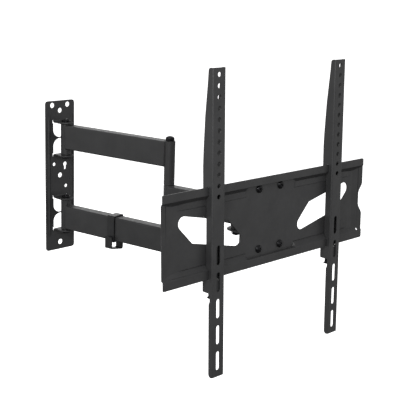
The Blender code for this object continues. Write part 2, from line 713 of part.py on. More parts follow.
def window_outline(side):
    """A slanted window: a parallelogram with its sharp corners well rounded."""
    along = Vector(WINDOW_LONG)
    up = Vector(WINDOW_SHORT)
    corners = [up - along, up + along, along - up, -up - along]
    placed = [(side * (WINDOW_X + c.x) + PLATE_SHIFT, WINDOW_H + TV_RISE + c.y) for c in corners]
    return rounded(placed, [4 * MM, 9.6 * MM, 4 * MM, 9.6 * MM], 6)


def make_tv_plate(frame):
    plate = make_object("tv_plate", pressed_sheet, frame, STEEL)
    near = q_to_y(6 * MM)
    far = q_to_y(-14 * MM)
    outline = tv_outline()
    combine(plate, "INTERSECT", "tv_front_view", lambda bm: add_prism(bm, outline, near, far, "XZ"))

    def openings(bm):
        add_prism(bm, window_outline(-1), near, far, "XZ")
        add_prism(bm, window_outline(1), near, far, "XZ")
        for x in (-PLATE_SCREW_X, PLATE_SCREW_X):
            for h in PLATE_SCREW_H:
                add_prism(bm, circle((x, h + TV_RISE), 3.3 * MM, HOLE_SIDES), near, far, "XZ")
        corner_hole = circle((PLATE_SHIFT + 207 * MM, -50.5 * MM + TV_RISE), 2 * MM, HOLE_SIDES)
        add_prism(bm, corner_hole, near, far, "XZ")

    combine(plate, "DIFFERENCE", "tv_openings", openings)


def make_plate_screws(frame):
    face = PANEL_Q + GAP
    clamp = PANEL_Q - TV_T - GAP - HEAD_T - GAP
    nut_h = 5 * MM
    head = [(5.9, 0), (5.8, 0.9), (4.9, 2.1), (3.2, 2.9)]
    spots = (("upper", PLATE_SCREW_H[0]), ("lower", PLATE_SCREW_H[1]))
    for row, h in spots:
        for name, x in (("left", -PLATE_SCREW_X), ("right", PLATE_SCREW_X)):
            spot = (x, 0, h + TV_RISE)

            def screw(bm):
                end = q_to_y(clamp - nut_h - 1.5 * MM)
                seat = q_to_y(face)
                dome = [(r * MM, seat - rise * MM) for r, rise in head]
                profile = [(0, end), (2.4 * MM, end), (3 * MM, end - 0.8 * MM), (3 * MM, seat)]
                add_turned(bm, profile + dome + [(0, seat - 3.1 * MM)], TURNED_SIDES, "Y")

            make_object("plate_screw_%s_%s" % (row, name), screw, frame, BOLT_BLACK, spot)
            make_nut("plate_nut_%s_%s" % (row, name), frame, q_to_y(clamp), q_to_y(clamp - nut_h),
                     5.6 * MM, 3.4 * MM, spot, "Y", ZINC)


# ---------------------------------------------------------------- VESA brackets

def bracket_side_view():
    """Side view of a bracket's walls: hook, rail notches, lock lobe and lower strip."""
    front = BRACKET_Q + 1 * MM
    hook_top = TV_HALF_H + GAP
    hook_foot = RAIL_TOP_EDGE + 0.2 * MM
    lean = SLOPE_H / -PANEL_Q
    clear = 0.65 * MM
    upper_slope = RAIL_TOP_EDGE - clear
    lower_slope = RAIL_BOTTOM_EDGE + clear
    reach = 4.4 * MM
    rest = 0.4 * MM
    lobe = -11.4 * MM
    lobe_top = -TV_HALF_H - 0.8 * MM
    corners = [                     # q and h in metres, corner radius in millimetres
        (front, BRACKET_BOTTOM, 0), (0.6 * MM, BRACKET_BOTTOM, 5), (0.6 * MM, -100 * MM, 3),
        (2.5 * MM, -96 * MM, 1.5), (2.5 * MM, -84.6 * MM, 1), (lobe, -84.3 * MM, 2), (lobe, lobe_top, 2),
        (rest, lobe_top, 0), (rest, lower_slope - rest * lean, 0), (-reach, lower_slope + reach * lean, 1),
        (-reach, upper_slope - reach * lean, 1), (rest, upper_slope + rest * lean, 0), (rest, hook_top, 0),
        (-2.3 * MM, hook_top, 0), (-2.3 * MM, hook_foot, 0), (-10.8 * MM, hook_foot, 2),
        (-11.1 * MM, 93 * MM, 0), (-10.3 * MM, 114 * MM, 0), (-9.1 * MM, 134 * MM, 0),
        (-7.3 * MM, 161 * MM, 0), (-2.3 * MM, 208 * MM, 0), (-1 * MM, BRACKET_TOP, 4),
        (front, BRACKET_TOP, 0),
    ]
    outline = [(q_to_y(q), h + TV_RISE) for q, h, radius in corners]
    return rounded(outline, [radius * MM for q, h, radius in corners], 4)


def make_bracket(name, frame):
    half = BRACKET_W / 2
    front = q_to_y(BRACKET_Q)
    section = channel_outline(half, front, q_to_y(-13 * MM), BRACKET_T, 2.6 * MM)
    low = BRACKET_BOTTOM + TV_RISE
    high = BRACKET_TOP + TV_RISE
    bracket = make_object(name, lambda bm: add_prism(bm, section, low, high, "XY"), frame, BRACKET_STEEL)
    side_view = bracket_side_view()
    combine(bracket, "INTERSECT", name + "_side_view",
            lambda bm: add_prism(bm, side_view, -half - 1 * MM, half + 1 * MM, "YZ"))

    def openings(bm):
        for k in range(HOLE_COUNT):
            centre = (0, TOP_HOLE - k * HOLE_PITCH + TV_RISE)
            add_prism(bm, circle(centre, HOLE_R, HOLE_SIDES), front - 1 * MM, front + 3 * MM, "XZ")
        for k in range(SLOT_COUNT):
            centre = (0, LOWEST_SLOT + k * SLOT_PITCH + TV_RISE)
            add_prism(bm, slot(centre, SLOT_W, SLOT_L), front - 1 * MM, front + 3 * MM, "XZ")

    combine(bracket, "DIFFERENCE", name + "_openings", openings)


def make_lock(side, frame):
    """The threaded block in a bracket's lobe and the knob screw that runs in it."""
    half = BRACKET_W / 2 - BRACKET_T - GAP
    block = box_outline((-half, q_to_y(5.2 * MM)), (half, q_to_y(-11 * MM)), 0.8 * MM, 2)
    hole = circle((0, q_to_y(LOCK_Q)), LOCK_R + 0.4 * MM, HOLE_SIDES)
    low = -84 * MM + TV_RISE
    make_object(side + "_lock_block", lambda bm: add_prism(bm, block, low, low + 17 * MM, "XY", [hole]),
                frame, STEEL)

    def screw(bm):
        profile = [(0, LOCK_TIP), (1.8 * MM, LOCK_TIP), (LOCK_R, LOCK_TIP - 1 * MM), (LOCK_R, KNOB_TOP),
                   (4 * MM, KNOB_TOP), (4.4 * MM, KNOB_TOP - 0.5 * MM), (4.4 * MM, KNOB_TOP - 8.4 * MM),
                   (6.3 * MM, KNOB_TOP - 8.8 * MM), (6.3 * MM, KNOB_TOP - 10.2 * MM),
                   (0, KNOB_TOP - 10.4 * MM)]
        add_turned(bm, [(r, h + TV_RISE) for r, h in profile], TURNED_SIDES, "Z", (0, q_to_y(LOCK_Q), 0))

    make_object(side + "_lock_screw", screw, frame, BOLT_BLACK)


# ---------------------------------------------------------------- the whole mount

def main():
    for obj in list(bpy.data.objects):
        bpy.data.objects.remove(obj, do_unlink=True)
    wall = make_empty("wall_frame", None, (0, 0, MID_Z))
    make_wall_plate(wall)
    make_wall_bolts(wall)
    wall_pivot = make_empty("wall_pivot", wall, (0, -PIVOT_OUT, 0), (0, 0, ARM_YAW))
    make_inner_arm(wall_pivot)
    make_cable_clip(wall_pivot)
    elbow = make_empty("elbow_pivot", wall_pivot, (0, -INNER_L, 0))
    make_outer_arm(elbow)
    swivel = make_empty("swivel_pivot", elbow, (0, -OUTER_L, 0), (0, 0, -ARM_YAW))
    make_swivel_bracket(swivel)
    tilt = make_empty("tilt_pivot", swivel, (0, -TILT_OUT, 0), (-TV_TILT_UP, 0, 0))
    make_tilt_bracket(tilt)
    make_tv_plate(tilt)
    make_plate_screws(tilt)
    for side, x in zip(("left", "right"), BRACKET_X):
        place = make_empty(side + "_bracket_frame", tilt, (x, 0, 0))
        make_bracket(side + "_bracket", place)
        make_lock(side, place)


main()
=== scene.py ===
"""The look of the full motion TV wall mount, for Blender 4.5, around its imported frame.

Metres, +Z up, +Y into the wall. Every piece is built in a frame taken from a joint of the mount:
the wall frame, the arm frame and the elbow frame run along -Y with heights from the arms' mid
plane, and the tilt frame is square to the TV plate.
"""
import json
import math

import bmesh
import bpy
from mathutils import Matrix, Vector
from mathutils.geometry import tessellate_polygon


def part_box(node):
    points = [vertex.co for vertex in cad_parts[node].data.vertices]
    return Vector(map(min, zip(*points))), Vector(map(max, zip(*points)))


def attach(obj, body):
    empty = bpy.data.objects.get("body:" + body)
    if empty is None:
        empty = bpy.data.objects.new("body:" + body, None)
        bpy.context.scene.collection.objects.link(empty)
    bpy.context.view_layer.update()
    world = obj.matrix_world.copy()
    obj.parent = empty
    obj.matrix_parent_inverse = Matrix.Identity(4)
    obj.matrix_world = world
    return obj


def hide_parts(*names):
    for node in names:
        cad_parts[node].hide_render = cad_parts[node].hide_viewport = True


MM = 0.001
LEVELS = (("upper", 1), ("lower", -1))
GAP = 0.3 * MM  # gap left between pieces that touch
ROUND_SIDES = 48  # sides of a sleeve, bolt, bush or washer
HOLE_SIDES = 32  # sides of a drilled hole
EDGE = 0.45 * MM  # rounding of a coated steel edge
SHARP = math.radians(33)  # edges sharper than this are rounded

# Wall plate
PLATE_W = 59.2 * MM
PLATE_TOP = 129.2 * MM
PLATE_BOTTOM = -132.3 * MM
PLATE_T = 2.5 * MM
BEAD_X = 23 * MM
BEAD_W = 5.5 * MM
BEAD_H = 1.2 * MM
BEAD_LENGTH = 210 * MM
LUG_W = 28 * MM
LUG_HALF = LUG_W / 2 - 0.1 * MM  # a lug is a little narrower than the window it left
LUG_OUTER = 92.6 * MM  # inner face of the outermost lugs
LUG_INNER = 38.6 * MM  # facing side of the lugs nearest the middle
BEND_R = 2 * MM  # inside radius of a folded sheet
PIVOT_OUT = PLATE_T + 16 * MM  # wall pivot axis in front of the wall

# Arms
TUBE_W = 20 * MM
TUBE_WALL = 1.8 * MM
TUBE_CORNER = 2.4 * MM
ARM_LOW = 49.8 * MM  # lower edge of the upper tube
ARM_HIGH = 90.2 * MM  # its upper edge; the lower tube mirrors it
OUTER_HALF_H = 19.3 * MM
SLEEVE_R = 8.6 * MM
WALL_SLEEVE = (39.9 * MM, 91.4 * MM)
ELBOW_SLEEVE = (20.9 * MM, 90.6 * MM)
ROOT = 4 * MM  # a tube's flat end, from its sleeve's axis
WALL_ROOT = 7 * MM  # the same at the wall sleeves
SWIVEL_SLEEVE_HALF = 24.3 * MM
VENT_R = 2.5 * MM  # vent holes under each hollow tube
VENT_IN = 22 * MM  # sleeve axis to the nearest vent hole
WELD_R = 0.9 * MM  # fillet welds
WELD_STEP = 0.3 * MM
WELD_RIPPLE = 1.5 * MM

# Bolts and bushes
PIN_R = 4 * MM
PIN_HOLE_R = 4.4 * MM
BUSH_R = 5 * MM
BUSH_HOLE_R = 5.3 * MM
BUSH_FLANGE_R = 8 * MM
BUSH_BARREL = 12 * MM
HEAD_R = 7 * MM
HEAD_H = 6.8 * MM
NUT_R = 7.4 * MM
NUT_H = 6.5 * MM
LOW_HEAD_H = 3.5 * MM  # low heads and thin nuts of the wall pivots
CAP_H = 7.2 * MM  # head of the elbow bolt
THIN_NUT_H = 3.5 * MM
BOLT_PAST = 1.5 * MM  # a bolt's end past its nut
THREAD_PITCH = 1.25 * MM

# Swivel and tilt head
SWIVEL_LUG = (26.8 * MM, 29.3 * MM)
WEB_OUT = 25 * MM  # swivel axis to the web's back
WEB_HALF_W = 21.5 * MM
WEB_HALF_H = 46 * MM
HEAD_T = 2.5 * MM
TILT_OUT = 42 * MM  # swivel axis to tilt axis
EAR_R = 13 * MM
EAR_ROOT_HALF_H = 34 * MM
WASHER_T = 1 * MM
WASHER_R = 9 * MM
YOKE_HALF_W = 32 * MM
YOKE_HALF_H = 54 * MM
YOKE_EAR_HALF_H = 28 * MM

# TV plate, seen from the tilt axis: q is measured forward from the rails' front plane
RAIL_OUT = 29 * MM  # tilt axis to the rails' front plane
TV_RISE = 1 * MM  # tilt axis to the TV plate's middle
TV_HALF_W = 217 * MM
TV_HALF_H = 64.8 * MM
PLATE_SHIFT = 2 * MM  # plate's middle, right of the tilt axis' middle
RAIL_SHORT = 1.5 * MM  # rails end this much short of the plate's left end
TV_T = 2 * MM
PANEL_Q = -5.5 * MM  # front of the recessed panel
RAIL_TOP_EDGE = 53.6 * MM
RAIL_BOTTOM_EDGE = -52.2 * MM
SLOPE_H = 6.8 * MM
STEEP_H = 0.4 * MM
STEEP_HALF_W = 51 * MM  # middle part where the rails' inner walls are steep
LEDGE_Q = -4.5 * MM  # shallow ledge under the top rail's sloped wall
LEDGE_H = 8.2 * MM
LEDGE_END = 186 * MM  # the ledge and the crease run out here
LEDGE_FADE = 12 * MM
CREASE_H = 0.9 * MM  # half height of the crease above the bottom rail's sloped wall
CREASE_DEPTH = 1.1 * MM
FLARE_X = 194 * MM  # plate ends curve forward from here
FLARE_Q = -1 * MM
WAIST_X = 210 * MM  # plate end where it is cut back
WAIST_HALF = (8 * MM, 26 * MM)
WINDOW_X = 122.7 * MM
WINDOW_LONG = (57.5 * MM, 12.65 * MM)
WINDOW_SHORT = (23 * MM, 23.45 * MM)
WINDOW_H = 0.8 * MM
PLATE_SCREW_X = 23 * MM
PLATE_SCREW_H = (47.1 * MM, -41.7 * MM)
PLATE_SCREW_HOLE_R = 3.3 * MM
PLATE_NUT_R = 5.6 * MM
PLATE_NUT_BORE = 3.4 * MM
PLATE_NUT_H = 5 * MM
CORNER_HOLE = (207 * MM, -50.5 * MM)
CORNER_HOLE_R = 2 * MM

# VESA brackets
BRACKET_W = 24.6 * MM
BRACKET_T = 2 * MM
BRACKET_Q = 7.7 * MM  # front face
BRACKET_TOP = 225 * MM
BRACKET_BOTTOM = -207.5 * MM
TOP_HOLE = 216 * MM
HOLE_PITCH = 15 * MM
HOLE_COUNT = 12
HOLE_R = 3.3 * MM
LOWEST_SLOT = -184 * MM  # 400 mm below the top hole
SLOT_PITCH = 38.3 * MM
SLOT_COUNT = 5
SLOT_W = 7 * MM
SLOT_L = 28 * MM
LOCK_Q = -6 * MM
LOCK_R = 2.5 * MM
LOCK_TIP = -57 * MM
KNOB_TOP = -84.6 * MM
KNOB_R = 4.4 * MM
KNOB_FLANGE_R = 6.3 * MM
BLOCK_Q = (5.2 * MM, -11 * MM)  # front and back of the threaded block
BLOCK_LOW = -84 * MM
BLOCK_H = 17 * MM

# Cable clip
CLIP_AT = 111 * MM
CLIP_LENGTH = 14.6 * MM
CLIP_T = 2 * MM
CLIP_LIP = -17.8 * MM  # front wall of the cable tray
CLIP_LIP_TOP = -82.6 * MM
CLIP_FLOOR = (-102.3 * MM, -108.2 * MM)  # heights under the tray's front and back walls


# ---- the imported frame

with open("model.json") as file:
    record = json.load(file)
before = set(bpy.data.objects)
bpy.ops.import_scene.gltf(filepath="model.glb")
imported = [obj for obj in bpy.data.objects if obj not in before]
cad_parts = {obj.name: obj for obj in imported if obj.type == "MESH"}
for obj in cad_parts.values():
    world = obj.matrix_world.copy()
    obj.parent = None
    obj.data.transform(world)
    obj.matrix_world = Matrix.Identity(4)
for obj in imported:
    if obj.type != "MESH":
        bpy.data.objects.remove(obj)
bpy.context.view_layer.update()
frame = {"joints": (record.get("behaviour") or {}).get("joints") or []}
joints = {joint["name"]: joint for joint in frame["joints"]}


def joint_spot(name):
    return Vector(joints[name]["pos_m"])


WALL_SPOT = joint_spot("wall_pivot")
ELBOW_SPOT = joint_spot("elbow")
SWIVEL_SPOT = joint_spot("head_swivel")
TILT_SPOT = joint_spot("head_tilt")
ARM_ALONG = ELBOW_SPOT - WALL_SPOT
OUTER_ALONG = SWIVEL_SPOT - ELBOW_SPOT
INNER_L = ARM_ALONG.length
OUTER_L = OUTER_ALONG.length
LOCK_AXIS = joints["left_lock_travel"]["axis"]


def turned_to(spot, along):
    """A frame at a joint whose -Y runs along an arm."""
    yaw = math.atan2(along.x, -along.y)
    return Matrix.Translation(spot) @ Matrix.Rotation(yaw, 4, "Z")


WALL = Matrix.Translation((0, 0, WALL_SPOT.z))
ARM = turned_to(WALL_SPOT, ARM_ALONG)
ELBOW = turned_to(ELBOW_SPOT, OUTER_ALONG)
SWIVEL = Matrix.Translation(SWIVEL_SPOT)
TILT = Matrix.Translation(TILT_SPOT) @ Matrix.Rotation(math.atan2(LOCK_AXIS[1], -LOCK_AXIS[2]), 4, "X")


def middle_x(node):
    low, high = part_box(node)
    return (low.x + high.x) / 2 - TILT_SPOT.x


BRACKET_X = {side: middle_x(side + "_bracket") for side in ("left", "right")}


# ---- outlines

def arc(centre, radius, start, end, steps):
    """Points on an arc, angles in degrees."""
    points = []
    for i in range(steps + 1):
        angle = math.radians(start + (end - start) * i / steps)
        points.append((centre[0] + radius * math.cos(angle), centre[1] + radius * math.sin(angle)))
    return points


def circle(centre, radius, sides=HOLE_SIDES):
    return arc(centre, radius, 0, 360 * (sides - 1) / sides, sides - 1)


def slot(centre, width, length, steps=14):
    """An upright slot with round ends."""
    reach = (length - width) / 2
    upper = arc((centre[0], centre[1] + reach), width / 2, 0, 180, steps)
    lower = arc((centre[0], centre[1] - reach), width / 2, 180, 360, steps)
    return upper + lower


def rounded(corners, radii, steps=8):
    """A polygon whose corners are rounded, each with its own radius."""
    points = []
    for i, corner in enumerate(corners):
        here = Vector(corner)
        before = (Vector(corners[i - 1]) - here).normalized()
        after = (Vector(corners[(i + 1) % len(corners)]) - here).normalized()
        radius = radii[i] if isinstance(radii, (list, tuple)) else radii
        if radius == 0:
            points.append(corner)
            continue
        half = before.angle(after) / 2
        centre = here + (before + after).normalized() * radius / math.sin(half)
        first = here + before * radius / math.tan(half) - centre
        turn = first.angle_signed(here + after * radius / math.tan(half) - centre)
        for k in range(steps + 1):
            angle = -turn * k / steps
            x = first.x * math.cos(angle) - first.y * math.sin(angle)
            y = first.x * math.sin(angle) + first.y * math.cos(angle)
            points.append((centre.x + x, centre.y + y))
    return points


def box_outline(low, high, radius, steps=8):
    corners = [(low[0], low[1]), (high[0], low[1]), (high[0], high[1]), (low[0], high[1])]
    return rounded(corners, radius, steps)


# ---- meshes

PLANES = {
    "XY": lambda u, v, w: (u, v, w),
    "XZ": lambda u, v, w: (u, w, v),
    "YZ": lambda u, v, w: (w, u, v),
}


def add_prism(bm, outline, low, high, plane, holes=()):
    """A closed prism: an outline, with holes, swept from low to high across its plane."""
    place = PLANES[plane]
    loops = [outline] + list(holes)
    flat = [point for loop in loops for point in loop]
    bottom = [bm.verts.new(place(u, v, low)) for u, v in flat]
    top = [bm.verts.new(place(u, v, high)) for u, v in flat]
    for tri in tessellate_polygon([[Vector((u, v, 0)) for u, v in loop] for loop in loops]):
        bm.faces.new([bottom[i] for i in tri])
        bm.faces.new([top[i] for i in tri])
    start = 0
    for loop in loops:
        for k in range(len(loop)):
            a = start + k
            b = start + (k + 1) % len(loop)
            bm.faces.new((bottom[a], bottom[b], top[b], top[a]))
        start += len(loop)


def add_rings(bm, rings, closed):
    """Faces between rings of vertices; a ring of one vertex closes an end."""
    pairs = list(zip(rings, rings[1:] + rings[:1])) if closed else list(zip(rings, rings[1:]))
    for lower, upper in pairs:
        for k in range(max(len(lower), len(upper))):
            corners = [lower[k % len(lower)], lower[(k + 1) % len(lower)],
                       upper[(k + 1) % len(upper)], upper[k % len(upper)]]
            unique = []
            for vert in corners:
                if vert not in unique:
                    unique.append(vert)
            bm.faces.new(unique)


AXES = {
    "Z": lambda u, v, w: (u, v, w),
    "X": lambda u, v, w: (w, u, v),
    "Y": lambda u, v, w: (v, w, u),
}


def add_turned(bm, profile, sides=ROUND_SIDES, axis="Z", centre=(0, 0, 0)):
    """A turned solid: (radius, height) pairs around an axis; a radius of 0 closes an end.

    A radius may be a function of the angle, for a knurled or threaded surface.
    """
    rings = []
    for radius, height in profile:
        ring = []
        for k in range(1 if radius == 0 else sides):
            angle = 2 * math.pi * k / sides
            reach = radius(angle) if callable(radius) else radius
            point = AXES[axis](reach * math.cos(angle), reach * math.sin(angle), height)
            ring.append(bm.verts.new(Vector(point) + Vector(centre)))
        rings.append(ring)
    add_rings(bm, rings, profile[0][0] != 0 and profile[-1][0] != 0)


def prism(outline, low, high, plane, holes=()):
    return solid(lambda bm: add_prism(bm, outline, low, high, plane, holes))


def turned(profile, sides=ROUND_SIDES, axis="Z", centre=(0, 0, 0)):
    return solid(lambda bm: add_turned(bm, profile, sides, axis, centre))


def rod_profile(radius, low, high):
    return [(0, low), (radius, low), (radius, high), (0, high)]


def ring_profile(inner, outer, low, high):
    return [(inner, low), (outer, low), (outer, high), (inner, high)]


def thread(radius, low, high, pitch):
    """Profile rows of a threaded stretch; the ridge climbs one pitch a turn."""
    depth = 0.6 * pitch
    rows = []
    count = max(2, round(4 * (high - low) / pitch))
    for i in range(count + 1):
        height = low + (high - low) * i / count

        def reach(angle, height=height):
            phase = (height / pitch - angle / (2 * math.pi)) % 1
            return radius - depth * abs(2 * phase - 1)

        rows.append((reach, height))
    return rows


def add_bead(bm, points, radius, ripple, sides=10):
    """A round cord along a path, whose thickness ripples."""
    rings = []
    run = 0
    for i, point in enumerate(points):
        ahead = points[min(i + 1, len(points) - 1)] - points[max(i - 1, 0)]
        along = ahead.normalized()
        side = along.cross(Vector((0.31, 0.17, 0.93))).normalized()
        up = along.cross(side)
        if i:
            run += (point - points[i - 1]).length
        end = min(i, len(points) - 1 - i)
        size = radius * (1 + 0.1 * math.sin(2 * math.pi * run / ripple)) * min(1, 0.45 + 0.3 * end)
        ring = []
        for k in range(sides):
            angle = 2 * math.pi * k / sides
            ring.append(bm.verts.new(point + (side * math.cos(angle) + up * math.sin(angle)) * size))
        rings.append(ring)
    tip = [bm.verts.new(points[0])]
    tail = [bm.verts.new(points[-1])]
    add_rings(bm, [tip] + rings + [tail], False)


def add_weld(bm, points, radius=WELD_R):
    """A weld bead along a polyline."""
    path = [Vector(points[0])]
    for start, end in zip(points, points[1:]):
        start, end = Vector(start), Vector(end)
        count = max(1, round((end - start).length / WELD_STEP))
        path += [start.lerp(end, (i + 1) / count) for i in range(count)]
    add_bead(bm, path, radius, WELD_RIPPLE)


# ---- shapes and pieces

def solid(build):
    """The mesh that build(bm) makes."""
    bm = bmesh.new()
    build(bm)
    bmesh.ops.recalc_face_normals(bm, faces=bm.faces)
    mesh = bpy.data.meshes.new("shape")
    bm.to_mesh(mesh)
    bm.free()
    return mesh


def combined(mesh, operation, build):
    """A mesh joined with, cut by or limited to the shape that build(bm) makes."""
    base = bpy.data.objects.new("base", mesh)
    tool = bpy.data.objects.new("tool", solid(build))
    for obj in (base, tool):
        bpy.context.scene.collection.objects.link(obj)
    modifier = base.modifiers.new("combine", "BOOLEAN")
    modifier.operation = operation
    modifier.solver = "EXACT"
    modifier.object = tool
    graph = bpy.context.evaluated_depsgraph_get()
    result = bpy.data.meshes.new_from_object(base.evaluated_get(graph))
    for obj in (base, tool):
        used = obj.data
        bpy.data.objects.remove(obj, do_unlink=True)
        bpy.data.meshes.remove(used)
    return result


def add_piece(name, mesh, place, body, nodes, slot_name="powder_coat", edge=EDGE):
    """A finished piece: flat faces joined up, edges rounded, riding on its body."""
    bm = bmesh.new()
    bm.from_mesh(mesh)
    bmesh.ops.remove_doubles(bm, verts=bm.verts, dist=0.002 * MM)
    bmesh.ops.dissolve_limit(bm, angle_limit=math.radians(0.6), verts=bm.verts, edges=bm.edges)
    bm.to_mesh(mesh)
    bm.free()
    mesh.transform(place)
    mesh.name = name
    mesh.materials.clear()
    mesh.materials.append(MATERIALS[slot_name])
    mesh.shade_smooth()
    obj = bpy.data.objects.new(name, mesh)
    bpy.context.scene.collection.objects.link(obj)
    if edge:
        bevel = obj.modifiers.new("rounded edges", "BEVEL")
        bevel.width = edge
        bevel.segments = 2
        bevel.limit_method = "ANGLE"
        bevel.angle_limit = SHARP
        bevel.use_clamp_overlap = False
    normals = obj.modifiers.new("even shading", "WEIGHTED_NORMAL")
    normals.weight = 100
    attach(obj, body)
    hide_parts(*nodes)


# ---- materials

class Nodes:
    """A short way to build a shader tree."""

    def __init__(self, name):
        self.material = bpy.data.materials.new(name)
        self.material.use_nodes = True
        self.tree = self.material.node_tree
        self.shader = self.tree.nodes["Principled BSDF"]
        coordinates = self.tree.nodes.new("ShaderNodeTexCoord")
        self.place = coordinates.outputs["Object"]

    def link(self, source, target):
        self.tree.links.new(source, target)

    def noise(self, size, detail=2, roughness=0.5):
        """Noise whose blotches are about size metres across."""
        node = self.tree.nodes.new("ShaderNodeTexNoise")
        node.inputs["Scale"].default_value = 1 / size
        node.inputs["Detail"].default_value = detail
        node.inputs["Roughness"].default_value = roughness
        self.link(self.place, node.inputs["Vector"])
        return node.outputs["Fac"]

    def ramp(self, value, low, high, span=(0.35, 0.65)):
        """A value spread between two colours, or two greys."""
        node = self.tree.nodes.new("ShaderNodeValToRGB")
        first, last = node.color_ramp.elements
        for element, at, colour in ((first, span[0], low), (last, span[1], high)):
            element.position = at
            element.color = (*colour, 1) if isinstance(colour, tuple) else (colour, colour, colour, 1)
        self.link(value, node.inputs["Fac"])
        return node.outputs["Color"]

    def mottle(self, socket, size, detail, low, high):
        """Blotches between two colours, or two greys, on one of the shader's sockets."""
        self.link(self.ramp(self.noise(size, detail), low, high), self.shader.inputs[socket])

    def bump(self, height, strength, distance):
        node = self.tree.nodes.new("ShaderNodeBump")
        node.inputs["Strength"].default_value = strength
        node.inputs["Distance"].default_value = distance
        self.link(height, node.inputs["Height"])
        self.link(node.outputs["Normal"], self.shader.inputs["Normal"])

    def finish(self, **sockets):
        for name, value in sockets.items():
            self.shader.inputs[name.replace("_", " ")].default_value = value
        return self.material


def powder_coat(name, dark, light, rough):
    """Baked powder paint: fine orange peel, faint clouding and dust, matt with a soft sheen."""
    n = Nodes(name)
    n.mottle("Base Color", 30 * MM, 4, dark, light)
    n.mottle("Roughness", 7 * MM, 3, *rough)
    n.bump(n.noise(0.8 * MM, 3, 0.6), 0.18, 0.12 * MM)
    return n.finish()


def black_screw():
    """Black oxide: dark, tight and glossy, with rubbed patches."""
    n = Nodes("black_screw")
    n.mottle("Base Color", 2 * MM, 3, (0.006, 0.006, 0.007), (0.016, 0.016, 0.018))
    n.mottle("Roughness", 1.5 * MM, 3, 0.14, 0.3)
    n.bump(n.noise(0.5 * MM, 2), 0.08, 0.05 * MM)
    return n.finish(Metallic=0.6)


def zinc():
    """Zinc plate: grey metal with a faint mottle."""
    n = Nodes("zinc_bolt")
    n.mottle("Base Color", 2 * MM, 4, (0.3, 0.3, 0.29), (0.46, 0.46, 0.44))
    n.mottle("Roughness", 1 * MM, 3, 0.25, 0.42)
    n.bump(n.noise(0.4 * MM, 2), 0.1, 0.04 * MM)
    return n.finish(Metallic=1.0)


def moulded(name, dark, light, rough, grain):
    """Moulded plastic: a fine spark-eroded grain."""
    n = Nodes(name)
    n.mottle("Base Color", 12 * MM, 3, dark, light)
    n.mottle("Roughness", 3 * MM, 3, *rough)
    n.bump(n.noise(grain, 3, 0.7), 0.2, 0.08 * MM)
    return n.finish()


COAT_ROUGH = (0.40, 0.48)
MATERIALS = {
    "powder_coat": powder_coat("powder_coat", (0.029, 0.029, 0.030), (0.036, 0.036, 0.037), COAT_ROUGH),
    "bracket_coat": powder_coat("bracket_coat", (0.031, 0.031, 0.032), (0.038, 0.038, 0.039), COAT_ROUGH),
    "black_screw": black_screw(),
    "zinc_bolt": zinc(),
    "nylon": moulded("nylon", (0.03, 0.03, 0.03), (0.042, 0.042, 0.042), (0.45, 0.6), 0.5 * MM),
    "clip_plastic": moulded("clip_plastic", (0.013, 0.013, 0.014), (0.019, 0.019, 0.020),
                            (0.34, 0.46), 0.6 * MM),
}


# ---- wall plate

LUGS = ((LUG_OUTER, 1), (LUG_INNER, -1), (-LUG_INNER, 1), (-LUG_OUTER, -1))


def lug_outline(sign, front, axis_y, half):
    """Plan of a lug: straight from its root, round about its bolt."""
    tip = arc((0, axis_y), half, 0, sign * 180, 28)
    return [(half, front)] + tip + [(-half, front)]


def folded_lug(bm, facing, fold):
    """One wall lug's bend. facing is its inner face; fold is +1 where it is folded from above."""
    outer_r = BEND_R + PLATE_T
    centre = (-outer_r, facing + fold * outer_r)
    swing = 90 * fold
    outside = arc(centre, outer_r, 0, -swing, 10)
    inside = arc(centre, BEND_R, -swing, 0, 10)
    stub = centre[1] + fold * 2 * MM
    section = [(0, stub)] + outside + inside + [(-PLATE_T, stub)]
    add_prism(bm, section, -LUG_HALF, LUG_HALF, "YZ")


def flat_lug(bm, facing, fold):
    """The flat of one wall lug, with its pivot hole."""
    outline = lug_outline(-1, -(BEND_R + PLATE_T) + 0.5 * MM, -PIVOT_OUT, LUG_HALF)
    hole = circle((0, -PIVOT_OUT), PIN_HOLE_R)
    low, high = sorted((facing, facing + fold * PLATE_T))
    add_prism(bm, outline, low, high, "XY", [hole])


def wall_windows(bm):
    """The openings that the lugs were folded from, with bend reliefs beside each fold."""
    half = LUG_W / 2
    rise = half - 1 * MM
    for facing, fold in LUGS:
        edge = facing + fold * (BEND_R + PLATE_T)
        middle = math.copysign((LUG_OUTER + LUG_INNER) / 2 + 0.2 * MM, facing)
        tip = middle + fold * 0.9 * MM
        relief = half + 1.6 * MM
        step = facing - fold * 1.2 * MM
        round_at = tip + fold * rise
        end = [(x, round_at - fold * rise / half * z) for x, z in arc((0, 0), half, 0, 180, 28)]
        foot = [(-half, step), (-relief, step), (-relief, edge), (relief, edge), (relief, step)]
        add_prism(bm, [(half, step)] + end + foot, -PLATE_T - 1 * MM, 1 * MM, "XZ")


WALL_HOLES = (  # x, height and radius, in millimetres
    (-15.6, 121.7, 4.5), (15.6, 121.7, 4.5), (0, 112.3, 4.3), (0, 0, 4.4), (0, -119.5, 4.7),
    (-12.2, 20.2, 3.1), (12.2, -20.2, 3.1),
)
KEYHOLE = (10.4 * MM, 18.5 * MM)
KEYHOLE_R = 3.9 * MM
KEYHOLE_NECK = 2.2 * MM
KEYHOLE_DROP = 7.5 * MM


